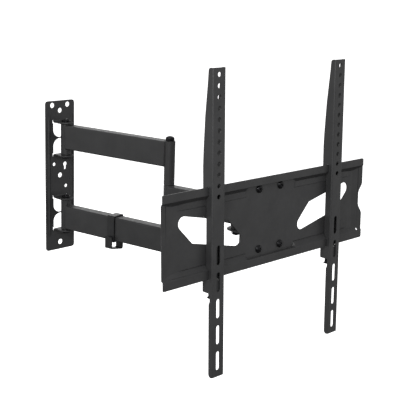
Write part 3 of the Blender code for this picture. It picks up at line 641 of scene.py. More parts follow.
def wall_holes(bm):
    low, high = -PLATE_T - 2 * MM, 2 * MM
    for x, z, radius in WALL_HOLES:
        add_prism(bm, circle((x * MM, z * MM), radius * MM), low, high, "XZ")
    meet = math.degrees(math.asin(KEYHOLE_NECK / KEYHOLE_R))
    head = arc(KEYHOLE, KEYHOLE_R, -90 + meet, 270 - meet, 28)
    foot = arc((KEYHOLE[0], KEYHOLE[1] - KEYHOLE_DROP), KEYHOLE_NECK, 180, 360, 14)
    add_prism(bm, head + foot, low, high, "XZ")


def bead(bm, x):
    """A pressed bead: a low rounded ridge that runs out at both ends."""
    steps = 10
    half = BEAD_LENGTH / 2
    taper = 12 * MM
    stations = []
    for k in range(7):
        stations.append((-half + taper * k / 6, math.sin(math.pi / 2 * k / 6) ** 2))
    stations += [(-z, share) for z, share in reversed(stations)]
    rows = []
    for z, share in stations:
        row = []
        for i in range(steps + 1):
            across = -1 + 2 * i / steps
            height = 0.02 * MM + share * BEAD_H * math.cos(across * math.pi / 2) ** 2
            row.append(bm.verts.new((x + across * BEAD_W / 2, -PLATE_T - height, z)))
        rows.append(row)
    root = -PLATE_T + 1 * MM
    floor = [[bm.verts.new((x + side * BEAD_W / 2, root, z)) for side in (-1, 1)] for z in (-half, half)]
    for lower, upper in zip(rows, rows[1:]):
        for i in range(steps):
            bm.faces.new((lower[i], lower[i + 1], upper[i + 1], upper[i]))
    bm.faces.new(rows[0] + [floor[0][1], floor[0][0]])
    bm.faces.new(rows[-1] + [floor[1][1], floor[1][0]])
    bm.faces.new([row[0] for row in rows] + [floor[1][0], floor[0][0]])
    bm.faces.new([row[-1] for row in rows] + [floor[1][1], floor[0][1]])
    bm.faces.new((floor[0][0], floor[0][1], floor[1][1], floor[1][0]))


def make_wall_plate():
    half = PLATE_W / 2
    outline = box_outline((-half, PLATE_BOTTOM), (half, PLATE_TOP), 5 * MM)
    mesh = prism(outline, -PLATE_T, 0, "XZ")

    def beads(bm):
        bead(bm, -BEAD_X)
        bead(bm, BEAD_X)

    def folds(bm):
        for facing, fold in LUGS:
            folded_lug(bm, facing, fold)

    def lugs(bm):
        for facing, fold in LUGS:
            flat_lug(bm, facing, fold)

    mesh = combined(mesh, "UNION", beads)
    mesh = combined(mesh, "DIFFERENCE", wall_windows)
    mesh = combined(mesh, "DIFFERENCE", wall_holes)
    mesh = combined(mesh, "UNION", folds)
    mesh = combined(mesh, "UNION", lugs)
    add_piece("formed_wall_plate", mesh, WALL, "wall", ["wall_plate"])


# ---- bolts, nuts, bushes

CROSS = {"Z": "XY", "Y": "XZ", "X": "YZ"}  # the plane square to each axis


def bolt_mesh(low, high, shank_end, axis, head_h):
    """A domed bolt with a hexagon socket in its head and a threaded end."""
    crown = []
    for degrees in range(90, 0, -10):
        angle = math.radians(degrees)
        crown.append((HEAD_R * math.sin(angle), high + head_h * (0.55 + 0.45 * math.cos(angle))))
    top = high + head_h
    body = [(0, low), (PIN_R * 0.72, low), (PIN_R * 0.8, low + 0.6 * MM)]
    body += thread(PIN_R, low + 1 * MM, shank_end, THREAD_PITCH)
    body += [(PIN_R, shank_end + 0.4 * MM), (PIN_R, high)]
    body += [(HEAD_R - 0.4 * MM, high), (HEAD_R, high + 0.4 * MM)]
    mesh = turned(body + crown + [(0, top)], ROUND_SIDES, axis)
    socket = circle((0, 0), HEAD_R * 0.42, 6)
    floor = high + head_h * 0.45
    return combined(mesh, "DIFFERENCE",
                    lambda bm: add_prism(bm, socket, floor, top + 1 * MM, CROSS[axis]))


def make_bolt(name, low, high, nut_high, place, body, axis="Z", head_h=HEAD_H):
    mesh = bolt_mesh(low, high, nut_high + 1 * MM, axis, head_h)
    add_piece("turned_" + name, mesh, place, body, [name], "black_screw", 0.25 * MM)


def nut_mesh(low, high, radius, bore, axis):
    """A hexagon nut, its corners turned down at both faces."""
    mesh = prism(circle((0, 0), radius, 6), low, high, CROSS[axis], [circle((0, 0), bore)])
    flat = radius * math.cos(math.radians(30))
    slope = (radius - flat) * 0.5
    barrel = [(0, low), (flat, low), (radius, low + slope)]
    barrel += [(radius, high - slope), (flat, high), (0, high)]
    return combined(mesh, "INTERSECT", lambda bm: add_turned(bm, barrel, ROUND_SIDES, axis))


def make_nut(name, low, high, radius, bore, place, body, axis="Z", slot_name="black_screw"):
    mesh = nut_mesh(low, high, radius, bore, axis)
    add_piece("turned_" + name, mesh, place, body, [name], slot_name, 0.15 * MM)


def make_ring(name, inner, outer, low, high, place, body, axis="Z"):
    mesh = turned(ring_profile(inner, outer, low, high), ROUND_SIDES, axis)
    add_piece("turned_" + name, mesh, place, body, [name], "nylon", 0.2 * MM)


def make_bush(name, flange_from, flange_to, barrel_to, place, body):
    """A flanged nylon bush; its barrel reaches into the sleeve."""
    profile = [(PIN_HOLE_R, flange_from), (BUSH_FLANGE_R, flange_from), (BUSH_FLANGE_R, flange_to),
               (BUSH_R, flange_to), (BUSH_R, barrel_to), (PIN_HOLE_R, barrel_to)]
    add_piece("turned_" + name, turned(profile), place, body, [name], "nylon", 0.2 * MM)


def make_wall_bolts():
    pivot = WALL @ Matrix.Translation((0, -PIVOT_OUT, 0))
    for name, side in LEVELS:
        top = max(side * LUG_OUTER, side * LUG_INNER) + PLATE_T + GAP
        foot = min(side * LUG_OUTER, side * LUG_INNER) - PLATE_T - GAP
        nut_foot = foot - THIN_NUT_H
        make_bolt(name + "_pivot_bolt", nut_foot - 0.5 * MM, top, foot, pivot, "wall", "Z", LOW_HEAD_H)
        make_nut(name + "_pivot_nut", nut_foot, foot, NUT_R, PIN_HOLE_R, pivot, "wall")


# ---- arms

def sleeve_welds(bm, tube, sleeve_y, way, root):
    """Fillet welds where a tube meets a sleeve: over its top and bottom and down its sides."""
    low, high = tube
    reach = math.sqrt(SLEEVE_R ** 2 - root ** 2)
    spread = math.degrees(math.asin(root / SLEEVE_R))
    inset = 0.35 * MM
    for z in (low + inset, high - inset):
        over = arc((0, sleeve_y), SLEEVE_R + 0.1 * MM, way * spread, way * (180 - spread), 60)
        add_weld(bm, [(x, y, z) for x, y in over])
    meet = sleeve_y + way * (root - 0.1 * MM)
    ends = (low + TUBE_CORNER * 0.6, high - TUBE_CORNER * 0.6)
    for side in (-1, 1):
        add_weld(bm, [(side * reach, meet, z) for z in ends], WELD_R * 0.75)


def make_arm(name, length, tube, near_sleeve, far_sleeve, bores, place, body, near_root=ROOT):
    """A rectangular tube along -Y with a sleeve welded on each end."""
    low, high = tube
    half = TUBE_W / 2
    bar = box_outline((-half, low), (half, high), TUBE_CORNER)
    mesh = prism(bar, -length + ROOT, -near_root, "XZ")
    far = (0, -length, 0)
    past = 1 * MM

    def sleeves(bm):
        add_turned(bm, rod_profile(SLEEVE_R, *near_sleeve))
        add_turned(bm, rod_profile(SLEEVE_R, *far_sleeve), centre=far)

    def hollows(bm):
        inner = box_outline((-half + TUBE_WALL, low + TUBE_WALL), (half - TUBE_WALL, high - TUBE_WALL),
                            TUBE_CORNER - TUBE_WALL)
        end = SLEEVE_R + 1 * MM
        add_prism(bm, inner, -length + end, -end, "XZ")
        add_turned(bm, rod_profile(bores[0], near_sleeve[0] - past, near_sleeve[1] + past))
        add_turned(bm, rod_profile(bores[1], far_sleeve[0] - past, far_sleeve[1] + past), centre=far)

    def vents(bm):
        profile = rod_profile(VENT_R, low - past, low + TUBE_WALL + 2 * MM)
        for y in (-length + VENT_IN, -VENT_IN):
            add_turned(bm, profile, HOLE_SIDES, centre=(0, y, 0))

    def welds(bm):
        sleeve_welds(bm, tube, 0, -1, near_root)
        sleeve_welds(bm, tube, -length, 1, ROOT)

    mesh = combined(mesh, "UNION", sleeves)
    mesh = combined(mesh, "DIFFERENCE", hollows)
    mesh = combined(mesh, "DIFFERENCE", vents)
    add_piece("welded_" + name, mesh, place, body, [name])
    add_piece(name + "_welds", solid(welds), place, body, [], edge=0)


def mirrored(pair):
    return (-pair[1], -pair[0])


def make_inner_arm():
    tube = (ARM_LOW, ARM_HIGH)
    bores = (BUSH_HOLE_R, PIN_HOLE_R)
    make_arm("upper_arm", INNER_L, tube, WALL_SLEEVE, ELBOW_SLEEVE, bores, ARM, "inner_arm", WALL_ROOT)
    make_arm("lower_arm", INNER_L, mirrored(tube), mirrored(WALL_SLEEVE), mirrored(ELBOW_SLEEVE), bores,
             ARM, "inner_arm", WALL_ROOT)
    for name, side in LEVELS:
        outside = side * (LUG_OUTER - GAP)
        seat = side * (WALL_SLEEVE[1] + GAP)
        make_bush(name + "_outside_bush", outside, seat, seat - side * BUSH_BARREL, ARM, "inner_arm")
        inside = side * (LUG_INNER + GAP)
        seat = side * (WALL_SLEEVE[0] - GAP)
        make_bush(name + "_inside_bush", inside, seat, seat + side * BUSH_BARREL, ARM, "inner_arm")
    top = ELBOW_SLEEVE[1] + GAP
    pivot = ARM @ Matrix.Translation((0, -INNER_L, 0))
    make_bolt("elbow_bolt", -top - NUT_H - BOLT_PAST, top, -top, pivot, "inner_arm", "Z", CAP_H)
    make_nut("elbow_nut", -top - NUT_H, -top, NUT_R, PIN_HOLE_R, pivot, "inner_arm")


def clip_outline():
    """Section of the cable clip: strap over the tube, catch under it and a cable tray below."""
    inner = TUBE_W / 2 + GAP
    outer = inner + CLIP_T
    top = -ARM_LOW + GAP + CLIP_T
    ledge = -ARM_HIGH - GAP
    lip = CLIP_LIP + CLIP_T
    lean = (CLIP_FLOOR[1] - CLIP_FLOOR[0]) / (outer - CLIP_LIP)
    floor = CLIP_FLOOR[0] + 1.5 * MM
    corners = [                     # across and height in metres, corner radius in millimetres
        (-outer, top, 2.5), (outer, top, 2.5), (outer, CLIP_FLOOR[1], 3.5),
        (CLIP_LIP, CLIP_FLOOR[0], 1.5), (CLIP_LIP, CLIP_LIP_TOP, 0.7), (lip, CLIP_LIP_TOP, 0.7),
        (lip, floor + CLIP_T * lean, 1), (inner, floor + (inner - CLIP_LIP) * lean, 2),
        (inner, ledge - CLIP_T, 0), (3 * MM, ledge - CLIP_T, 0.5), (3 * MM, ledge, 0.5), (inner, ledge, 0),
        (inner, top - CLIP_T, 0.8), (-inner, top - CLIP_T, 0.8), (-inner, ledge, 0), (-8 * MM, ledge, 0),
        (-8 * MM, ledge - CLIP_T, 0.5), (-outer, ledge - CLIP_T, 1.5),
    ]
    return rounded([(x, z) for x, z, radius in corners], [radius * MM for x, z, radius in corners], 8)


def make_cable_clip():
    low = -CLIP_AT - CLIP_LENGTH / 2
    mesh = prism(clip_outline(), low, low + CLIP_LENGTH, "XZ")
    add_piece("moulded_cable_clip", mesh, ARM, "cable_clip", ["cable_clip"], "clip_plastic", 0.5 * MM)


def make_outer_arm():
    tube = (-OUTER_HALF_H, OUTER_HALF_H)
    swivel_sleeve = (-SWIVEL_SLEEVE_HALF, SWIVEL_SLEEVE_HALF)
    make_arm("outer_arm", OUTER_L, tube, tube, swivel_sleeve, (PIN_HOLE_R, BUSH_HOLE_R), ELBOW, "outer_arm")
    far = ELBOW @ Matrix.Translation((0, -OUTER_L, 0))
    for name, side in LEVELS:
        low, high = sorted((side * (OUTER_HALF_H + 0.25 * MM), side * (ELBOW_SLEEVE[0] - 0.25 * MM)))
        make_ring(name + "_elbow_washer", PIN_HOLE_R, BUSH_FLANGE_R, low, high, ELBOW, "outer_arm")
        seat = side * (SWIVEL_SLEEVE_HALF + GAP)
        make_bush(name + "_swivel_bush", side * (SWIVEL_LUG[0] - GAP), seat, seat - side * BUSH_BARREL, far,
                  "outer_arm")


# ---- swivel and tilt head

def channel_outline(half, root, lip, sheet, corner):
    """Plan of a channel: its back at root, its side walls reaching to lip."""
    way = 1 if lip > root else -1
    outer = [(-half, lip), (-half, root), (half, root), (half, lip)]
    inner = [(half - sheet, lip), (half - sheet, root + way * sheet), (-half + sheet, root + way * sheet),
             (-half + sheet, lip)]
    tight = max(corner - sheet, 0.6 * MM)
    return rounded(outer + inner, [0, corner, corner, 0, 0, tight, tight, 0], 8)


def make_swivel_bracket():
    half = WEB_HALF_W
    tall = WEB_HALF_H
    front = -WEB_OUT - HEAD_T
    reach = -TILT_OUT - EAR_R
    section = channel_outline(half, -WEB_OUT, reach - 2 * MM, HEAD_T, 3.5 * MM)
    mesh = prism(section, -tall, tall, "XY")
    root = front - 2 * MM
    back = -WEB_OUT + 1 * MM
    profile = [(back, tall), (back, -tall), (root, -tall), (root, -EAR_ROOT_HALF_H)]
    profile += arc((-TILT_OUT, 0), EAR_R, -60, -300, 32)
    profile += [(root, EAR_ROOT_HALF_H), (root, tall)]
    view = box_outline((-half, -tall), (half, tall), 6 * MM)
    past = half + 1 * MM

    def lugs(bm):
        lug = lug_outline(1, -WEB_OUT - 1 * MM, 0, LUG_W / 2)
        hole = circle((0, 0), PIN_HOLE_R)
        add_prism(bm, lug, SWIVEL_LUG[0], SWIVEL_LUG[1], "XY", [hole])
        add_prism(bm, lug, -SWIVEL_LUG[1], -SWIVEL_LUG[0], "XY", [hole])

    def holes(bm):
        add_turned(bm, rod_profile(PIN_HOLE_R, -past, past), HOLE_SIDES, "X", (0, -TILT_OUT, 0))

    def welds(bm):
        end = LUG_W / 2 - 1 * MM
        for side in (-1, 1):
            z = side * (SWIVEL_LUG[1] + 0.2 * MM)
            add_weld(bm, [(x, -WEB_OUT + 0.4 * MM, z) for x in (-end, end)])

    mesh = combined(mesh, "INTERSECT", lambda bm: add_prism(bm, profile, -past, past, "YZ"))
    mesh = combined(mesh, "INTERSECT", lambda bm: add_prism(bm, view, reach - 5 * MM, 5 * MM, "XZ"))
    mesh = combined(mesh, "UNION", lugs)
    mesh = combined(mesh, "DIFFERENCE", holes)
    add_piece("folded_swivel_bracket", mesh, SWIVEL, "swivel_head", ["swivel_bracket"])
    add_piece("swivel_bracket_welds", solid(welds), SWIVEL, "swivel_head", [], edge=0)
    top = SWIVEL_LUG[1] + GAP
    make_bolt("swivel_bolt", -top - NUT_H - BOLT_PAST, top, -top, SWIVEL, "swivel_head")
    make_nut("swivel_nut", -top - NUT_H, -top, NUT_R, PIN_HOLE_R, SWIVEL, "swivel_head")


def q_to_y(q):
    """Distance in front of the rails' plane, as a Y of the tilt frame."""
    return -(RAIL_OUT + q)


def plate_screw_holes():
    return [circle((x, h + TV_RISE), PLATE_SCREW_HOLE_R)
            for x in (-PLATE_SCREW_X, PLATE_SCREW_X) for h in PLATE_SCREW_H]


def make_tilt_bracket():
    front = q_to_y(PANEL_Q - TV_T - GAP)
    back = front + HEAD_T
    middle = TV_RISE + sum(PLATE_SCREW_H) / 2
    base = box_outline((-YOKE_HALF_W, middle - YOKE_HALF_H), (YOKE_HALF_W, middle + YOKE_HALF_H), 6 * MM)
    mesh = prism(base, front, back, "XZ", plate_screw_holes())
    inner = WEB_HALF_W + WASHER_T + 2 * GAP
    outer = inner + HEAD_T
    root = back - 1 * MM
    side_view = [(root, -YOKE_EAR_HALF_H)] + arc((0, 0), EAR_R, -60, 60, 24) + [(root, YOKE_EAR_HALF_H)]
    hole = circle((0, 0), PIN_HOLE_R)

    def ears(bm):
        add_prism(bm, side_view, inner, outer, "YZ", [hole])
        add_prism(bm, side_view, -outer, -inner, "YZ", [hole])

    def welds(bm):
        end = YOKE_EAR_HALF_H - 1 * MM
        for x in (inner - 0.2 * MM, outer + 0.2 * MM):
            for side in (-1, 1):
                add_weld(bm, [(side * x, back + 0.3 * MM, z) for z in (-end, end)], WELD_R * 0.8)

    mesh = combined(mesh, "UNION", ears)
    add_piece("folded_tilt_bracket", mesh, TILT, "tv_head", ["tilt_bracket"])
    add_piece("tilt_bracket_welds", solid(welds), TILT, "tv_head", [], edge=0)
    foot = -outer - GAP
    make_bolt("tilt_bolt", foot - NUT_H - BOLT_PAST, outer + GAP, foot, TILT, "tv_head", "X")
    make_nut("tilt_nut", foot - NUT_H, foot, NUT_R, PIN_HOLE_R, TILT, "tv_head", "X")
    square = Matrix.Translation(TILT_SPOT)
    for name, sign in (("left", -1), ("right", 1)):
        low, high = sorted((sign * (WEB_HALF_W + GAP), sign * (WEB_HALF_W + GAP + WASHER_T)))
        make_ring(name + "_tilt_washer", PIN_HOLE_R, WASHER_R, low, high, square, "swivel_head", "X")


# ---- TV plate

def eased(value):
    """0 to 1 with soft ends."""
    value = min(max(value, 0), 1)
    return value * value * (3 - 2 * value)


def panel_depth(a, h):
    """How far the pressed plate's front lies behind the rails, as q."""
    across = eased((abs(a) - STEEP_HALF_W) / (4 * MM))
    width = STEEP_H + (SLOPE_H - STEEP_H) * across
    top = min(max((h - RAIL_TOP_EDGE + width) / width, 0), 1)
    bottom = min(max((RAIL_BOTTOM_EDGE - h + width) / width, 0), 1)
    flare = max(abs(a) - FLARE_X, 0) / (TV_HALF_W - FLARE_X)
    rise = max(top, bottom) * -PANEL_Q
    curl = min(flare, 1.05) ** 1.3 * (FLARE_Q - PANEL_Q)
    above = eased((h - (RAIL_TOP_EDGE - SLOPE_H - LEDGE_H)) / CREASE_H)
    along = across * eased((LEDGE_END - abs(a)) / LEDGE_FADE)
    ledge = above * along * (LEDGE_Q - PANEL_Q)
    from_crease = abs(h - RAIL_BOTTOM_EDGE - SLOPE_H - CREASE_H) / CREASE_H
    crease = max(1 - from_crease, 0) * along * CREASE_DEPTH
    return PANEL_Q + max(rise, curl, ledge) - crease


def spread(low, high, count):
    return [low + (high - low) * i / count for i in range(1, count + 1)]


def pressed_sheet(bm):
    """The TV plate's skin, front and back, on grid lines placed where the shape changes."""
    past = 1 * MM
    side = [0, STEEP_HALF_W]
    side += spread(STEEP_HALF_W, STEEP_HALF_W + 4 * MM, 8)
    fade = LEDGE_END - LEDGE_FADE
    side += spread(side[-1], fade, 6) + spread(fade, LEDGE_END, 6)
    side += spread(LEDGE_END, FLARE_X, 2) + spread(FLARE_X, TV_HALF_W + past, 18)
    columns = [-x for x in reversed(side[1:])] + side
    foot = RAIL_BOTTOM_EDGE
    head = RAIL_TOP_EDGE
    low = foot + SLOPE_H
    high = head - SLOPE_H
    rows = [-TV_HALF_H - past, foot]
    stretches = (
        (foot, foot + STEEP_H, 4), (foot + STEEP_H, low, 14), (low, low + 2 * CREASE_H, 4),
        (low + 2 * CREASE_H, high - LEDGE_H, 6), (high - LEDGE_H, high - LEDGE_H + CREASE_H, 5),
        (high - LEDGE_H + CREASE_H, high, 2), (high, head - STEEP_H, 14), (head - STEEP_H, head, 4),
    )
    for start, end, count in stretches:
        rows += spread(start, end, count)
    rows.append(TV_HALF_H + past)
    skins = []
    for offset in (0, -TV_T):
        skins.append([[bm.verts.new((a + PLATE_SHIFT, q_to_y(panel_depth(a, h) + offset), h + TV_RISE))
                       for a in columns]
                      for h in rows])
    last_row = len(rows) - 1
    last_column = len(columns) - 1
    for skin in skins:
        for i in range(last_row):
            for j in range(last_column):
                bm.faces.new((skin[i][j], skin[i][j + 1], skin[i + 1][j + 1], skin[i + 1][j]))
    front, back = skins
    for i in range(last_row):
        for j in (0, last_column):
            bm.faces.new((front[i][j], front[i + 1][j], back[i + 1][j], back[i][j]))
    for j in range(last_column):
        for i in (0, last_row):
            bm.faces.new((front[i][j], front[i][j + 1], back[i][j + 1], back[i][j]))


def tv_outline():
    """Front view of the plate: a waist at its right end, rails a little short at its left end."""
    near, far = WAIST_HALF
    upper = []
    steps = 16
    for i in range(steps + 1):
        share = i / steps
        bulge = (1 - math.cos(share * math.pi)) / 2
        upper.append((WAIST_X + (TV_HALF_W - WAIST_X) * bulge, near + (far - near) * share))
    upper += arc((TV_HALF_W - 3 * MM, TV_HALF_H - 3 * MM), 3 * MM, 0, 90, 8)
    rail_end = -TV_HALF_W + RAIL_SHORT
    upper += arc((rail_end + 1.5 * MM, TV_HALF_H - 1.5 * MM), 1.5 * MM, 90, 180, 8)
    upper += [(rail_end, RAIL_TOP_EDGE - 1 * MM), (-TV_HALF_W, RAIL_TOP_EDGE - 3 * MM)]
    points = upper + [(x, -h) for x, h in reversed(upper)]
    return [(x + PLATE_SHIFT, h + TV_RISE) for x, h in points]


def window_outline(side):
    """A slanted window: a parallelogram with its sharp corners well rounded."""
    along = Vector(WINDOW_LONG)
    up = Vector(WINDOW_SHORT)
    corners = [up - along, up + along, along - up, -up - along]
    placed = [(side * (WINDOW_X + c.x) + PLATE_SHIFT, WINDOW_H + TV_RISE + c.y) for c in corners]
    return rounded(placed, [4 * MM, 9.6 * MM, 4 * MM, 9.6 * MM], 12)


def make_tv_plate():
    near = q_to_y(6 * MM)
    far = q_to_y(-14 * MM)
    outline = tv_outline()
    mesh = solid(pressed_sheet)
    mesh = combined(mesh, "INTERSECT", lambda bm: add_prism(bm, outline, near, far, "XZ"))

    def openings(bm):
        add_prism(bm, window_outline(-1), near, far, "XZ")
        add_prism(bm, window_outline(1), near, far, "XZ")
        for hole in plate_screw_holes():
            add_prism(bm, hole, near, far, "XZ")
        corner = (PLATE_SHIFT + CORNER_HOLE[0], CORNER_HOLE[1] + TV_RISE)
        add_prism(bm, circle(corner, CORNER_HOLE_R), near, far, "XZ")

    mesh = combined(mesh, "DIFFERENCE", openings)
    add_piece("pressed_tv_plate", mesh, TILT, "tv_head", ["tv_plate"], edge=0.3 * MM)


def make_plate_screws():
    face = PANEL_Q + GAP
    clamp = PANEL_Q - TV_T - GAP - HEAD_T - GAP
    # radius and rise of the button head, in millimetres
    dome = [(5.9, 0.1), (5.9, 0.7), (5.6, 1.3), (5.0, 1.9), (4.2, 2.4), (3.2, 2.8), (2.0, 3.0)]
    seat = q_to_y(face)
    end = q_to_y(clamp - PLATE_NUT_H - BOLT_PAST)
    shank = [(0, end), (2.2 * MM, end), (2.5 * MM, end - 0.5 * MM)]
    shank += thread(3 * MM, end - 0.8 * MM, q_to_y(clamp) + 0.5 * MM, -1 * MM)
    shank += [(3 * MM, seat)] + [(r * MM, seat - rise * MM) for r, rise in dome] + [(0, seat - 3.1 * MM)]
    for row, h in zip(("upper", "lower"), PLATE_SCREW_H):
        for name, x in (("left", -PLATE_SCREW_X), ("right", PLATE_SCREW_X)):
            place = TILT @ Matrix.Translation((x, 0, h + TV_RISE))
            mesh = turned(shank, ROUND_SIDES, "Y")
            socket = circle((0, 0), 2.3 * MM, 6)
            mesh = combined(mesh, "DIFFERENCE",
                            lambda bm: add_prism(bm, socket, seat - 4 * MM, seat - 1.2 * MM, "XZ"))
            screw = "plate_screw_%s_%s" % (row, name)
            add_piece("turned_" + screw, mesh, place, "tv_head", [screw], "black_screw", 0.15 * MM)
            make_nut("plate_nut_%s_%s" % (row, name), q_to_y(clamp), q_to_y(clamp - PLATE_NUT_H),
                     PLATE_NUT_R, PLATE_NUT_BORE, place, "tv_head", "Y", "zinc_bolt")


# ---- VESA brackets

def bracket_side_view():
    """Side view of a bracket's walls, as (q, h): hook, rail notches, lock lobe and lower strip."""
    front = BRACKET_Q + 1 * MM
    hook_top = TV_HALF_H + GAP
    hook_foot = RAIL_TOP_EDGE + 0.2 * MM
    lean = SLOPE_H / -PANEL_Q
    clear = 0.65 * MM
    upper_slope = RAIL_TOP_EDGE - clear
    lower_slope = RAIL_BOTTOM_EDGE + clear
    reach = 4.4 * MM
    lobe_top = -TV_HALF_H - 0.8 * MM
    corners = [                     # q and h in metres, corner radius in millimetres
        (front, BRACKET_BOTTOM, 0), (0.6 * MM, BRACKET_BOTTOM, 5), (0.6 * MM, -100 * MM, 3),
        (2.5 * MM, -96 * MM, 1.5), (2.5 * MM, -84.6 * MM, 1), (-11.4 * MM, -84.3 * MM, 2),
        (-11.4 * MM, lobe_top, 2), (0.4 * MM, lobe_top, 0),
        (0.4 * MM, lower_slope - 0.4 * MM * lean, 0), (-reach, lower_slope + reach * lean, 1),
        (-reach, upper_slope - reach * lean, 1), (0.4 * MM, upper_slope + 0.4 * MM * lean, 0),
        (0.4 * MM, hook_top, 0), (-2.3 * MM, hook_top, 0), (-2.3 * MM, hook_foot, 0),
        (-10.8 * MM, hook_foot, 2), (-11.1 * MM, 93 * MM, 0), (-10.3 * MM, 114 * MM, 0),
        (-9.1 * MM, 134 * MM, 0), (-7.3 * MM, 161 * MM, 0), (-2.3 * MM, 208 * MM, 0),
        (-1 * MM, BRACKET_TOP, 4), (front, BRACKET_TOP, 0),
    ]
    shape = [(q_to_y(q), h + TV_RISE) for q, h, radius in corners]
    return rounded(shape, [radius * MM for q, h, radius in corners], 8)


def make_bracket(side, place):
    half = BRACKET_W / 2
    front = q_to_y(BRACKET_Q)
    section = channel_outline(half, front, q_to_y(-13 * MM), BRACKET_T, 2.6 * MM)
    low = BRACKET_BOTTOM + TV_RISE
    high = BRACKET_TOP + TV_RISE
    mesh = prism(section, low, high, "XY")
    view = bracket_side_view()
    past = half + 1 * MM

    def openings(bm):
        holes = [circle((0, TOP_HOLE - k * HOLE_PITCH + TV_RISE), HOLE_R)
                 for k in range(HOLE_COUNT)]
        holes += [slot((0, LOWEST_SLOT + k * SLOT_PITCH + TV_RISE), SLOT_W, SLOT_L)
                  for k in range(SLOT_COUNT)]
        for hole in holes:
            add_prism(bm, hole, front - 1 * MM, front + 3 * MM, "XZ")

    mesh = combined(mesh, "INTERSECT", lambda bm: add_prism(bm, view, -past, past, "YZ"))
    mesh = combined(mesh, "DIFFERENCE", openings)
    name = side + "_bracket"
    add_piece("pressed_" + name, mesh, place, name, [name], "bracket_coat", 0.35 * MM)


def make_lock(side, place):
    """The threaded block in a bracket's lobe and the knurled knob screw that runs in it."""
    half = BRACKET_W / 2 - BRACKET_T - GAP
    block = box_outline((-half, q_to_y(BLOCK_Q[0])), (half, q_to_y(BLOCK_Q[1])), 0.8 * MM, 4)
    hole = circle((0, q_to_y(LOCK_Q)), LOCK_R + 0.4 * MM)
    low = BLOCK_LOW + TV_RISE
    mesh = prism(block, low, low + BLOCK_H, "XY", [hole])
    body = side + "_bracket"
    add_piece(side + "_threaded_block", mesh, place, body, [side + "_lock_block"], edge=0.4 * MM)

    def knurl(angle):
        return KNOB_R - 0.22 * MM * (1 + math.cos(24 * angle))

    flange = KNOB_FLANGE_R
    knob = [                        # radius in metres, drop below the knob's top in millimetres
        (0, 10.4), (flange - 1 * MM, 10.4), (flange, 9.9), (flange, 9.1), (flange - 0.5 * MM, 8.7),
        (4 * MM, 8.5), (knurl, 8.2), (knurl, 0.7), (3.9 * MM, 0.2), (LOCK_R * 0.85, 0),
    ]
    profile = [(radius, KNOB_TOP - drop * MM) for radius, drop in knob]
    profile += thread(LOCK_R, KNOB_TOP + 0.5 * MM, LOCK_TIP - 1.2 * MM, 0.8 * MM)
    profile += [(1.8 * MM, LOCK_TIP), (0, LOCK_TIP)]
    placed = [(radius, h + TV_RISE) for radius, h in profile]
    mesh = turned(placed, 2 * ROUND_SIDES, "Z", (0, q_to_y(LOCK_Q), 0))
    name = side + "_lock_screw"
    add_piece("knurled_" + name, mesh, place, name, [name], "black_screw", 0)


# ---- stage, light and camera

FLOOR_HALF = 60
FLOOR_Z = -0.7


def make_floor():
    """A wide pale floor, well below the mount; it neither shades the mount nor shows in its coat."""
    mesh = solid(lambda bm: bmesh.ops.create_grid(bm, x_segments=1, y_segments=1, size=FLOOR_HALF))
    floor = bpy.data.objects.new("studio_floor", mesh)
    floor.location = (0, 0, FLOOR_Z)
    floor.visible_diffuse = False
    floor.visible_glossy = False
    floor.visible_shadow = False
    bpy.context.scene.collection.objects.link(floor)
    n = Nodes("studio_floor")
    n.mottle("Base Color", 2.0, 2, (0.93, 0.93, 0.93), (0.95, 0.95, 0.95))
    mesh.materials.append(n.finish(Roughness=1.0, Emission_Color=(1, 1, 1, 1), Emission_Strength=0.9))


MIDDLE = (0.03, -0.25, 0)
LAMP_TARGET = (-0.1, -0.1, 0)
LIGHTS = (  # name, spot, target, width and height, radiance
    ("front_panel", (2.1, -2.3, -0.4), MIDDLE, (2.4, 2.2), 0.25),
    ("left_panel", (-2.2, 1.6, -0.4), MIDDLE, (3.0, 2.6), 0.25),
    ("back_panel", (1.6, 2.2, 0.75), MIDDLE, (3.4, 1.6), 0.9),
    ("rim_panel", (0.5, 2.7, -0.2), MIDDLE, (1.1, 2.0), 2),
    ("key_lamp", (-1.1, -0.85, 0.55), LAMP_TARGET, (0.4, 0.4), 14),
    ("front_lamp", (-0.7, -1.6, 0.6), LAMP_TARGET, (0.4, 0.4), 12),
)


def make_light(name, spot, target, size, radiance):
    data = bpy.data.lights.new(name, "AREA")
    data.shape = "RECTANGLE"
    data.size, data.size_y = size
    data.energy = radiance * math.pi * size[0] * size[1]
    light = bpy.data.objects.new(name, data)
    light.location = spot
    light.rotation_euler = (Vector(target) - Vector(spot)).to_track_quat("-Z", "Y").to_euler()
    light.visible_camera = False
    bpy.context.scene.collection.objects.link(light)


# height and grey: 0 is straight down, 0.5 level and 1 straight up
WORLD_SHADES = ((0.3, 0.08), (0.45, 0.4), (0.62, 0.6), (0.8, 0.2), (1.0, 1.0))


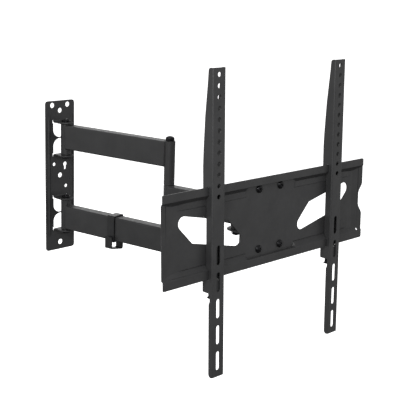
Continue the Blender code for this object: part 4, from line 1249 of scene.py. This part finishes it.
def make_world():
    """Soft light all round, dim from below and brightest from straight above."""
    world = bpy.data.worlds.new("studio")
    world.use_nodes = True
    tree = world.node_tree
    coordinates = tree.nodes.new("ShaderNodeTexCoord")
    split = tree.nodes.new("ShaderNodeSeparateXYZ")
    ramp = tree.nodes.new("ShaderNodeValToRGB")
    height = tree.nodes.new("ShaderNodeMapRange")
    height.inputs["From Min"].default_value = -1
    tree.links.new(coordinates.outputs["Generated"], split.inputs[0])
    tree.links.new(split.outputs["Z"], height.inputs["Value"])
    tree.links.new(height.outputs["Result"], ramp.inputs["Fac"])
    tree.links.new(ramp.outputs["Color"], tree.nodes["Background"].inputs["Color"])
    stops = ramp.color_ramp.elements
    stops[0].position = WORLD_SHADES[0][0]
    for at, grey in WORLD_SHADES[1:-1]:
        stops.new(at)
    for k, (at, grey) in enumerate(WORLD_SHADES):
        stops[k].color = (grey, grey, grey, 1)
    bpy.context.scene.world = world


def make_studio():
    make_world()
    bpy.context.scene.view_settings.view_transform = "Standard"
    for light in LIGHTS:
        make_light(*light)


CAMERA_SPOT = (-0.9375, -1.2968, 0.3610)
CAMERA_AZIMUTH = math.radians(-44.633)
CAMERA_ELEVATION = math.radians(13.738)
CAMERA_ROLL = math.radians(1.882)
CAMERA_LENS = 84.38
CAMERA_SENSOR = 36.0


def make_camera():
    data = bpy.data.cameras.new("photo_view")
    data.sensor_width = CAMERA_SENSOR
    data.lens = CAMERA_LENS
    camera = bpy.data.objects.new("photo_view", data)
    turn = (Matrix.Rotation(CAMERA_AZIMUTH, 4, "Z")
            @ Matrix.Rotation(math.pi / 2 - CAMERA_ELEVATION, 4, "X")
            @ Matrix.Rotation(CAMERA_ROLL, 4, "Z"))
    camera.matrix_world = Matrix.Translation(CAMERA_SPOT) @ turn
    bpy.context.scene.collection.objects.link(camera)
    bpy.context.scene.camera = camera


def main():
    make_camera()
    make_studio()
    make_floor()
    make_wall_plate()
    make_wall_bolts()
    make_inner_arm()
    make_cable_clip()
    make_outer_arm()
    make_swivel_bracket()
    make_tilt_bracket()
    make_tv_plate()
    make_plate_screws()
    for side in ("left", "right"):
        place = TILT @ Matrix.Translation((BRACKET_X[side], 0, 0))
        make_bracket(side, place)
        make_lock(side, place)


main()
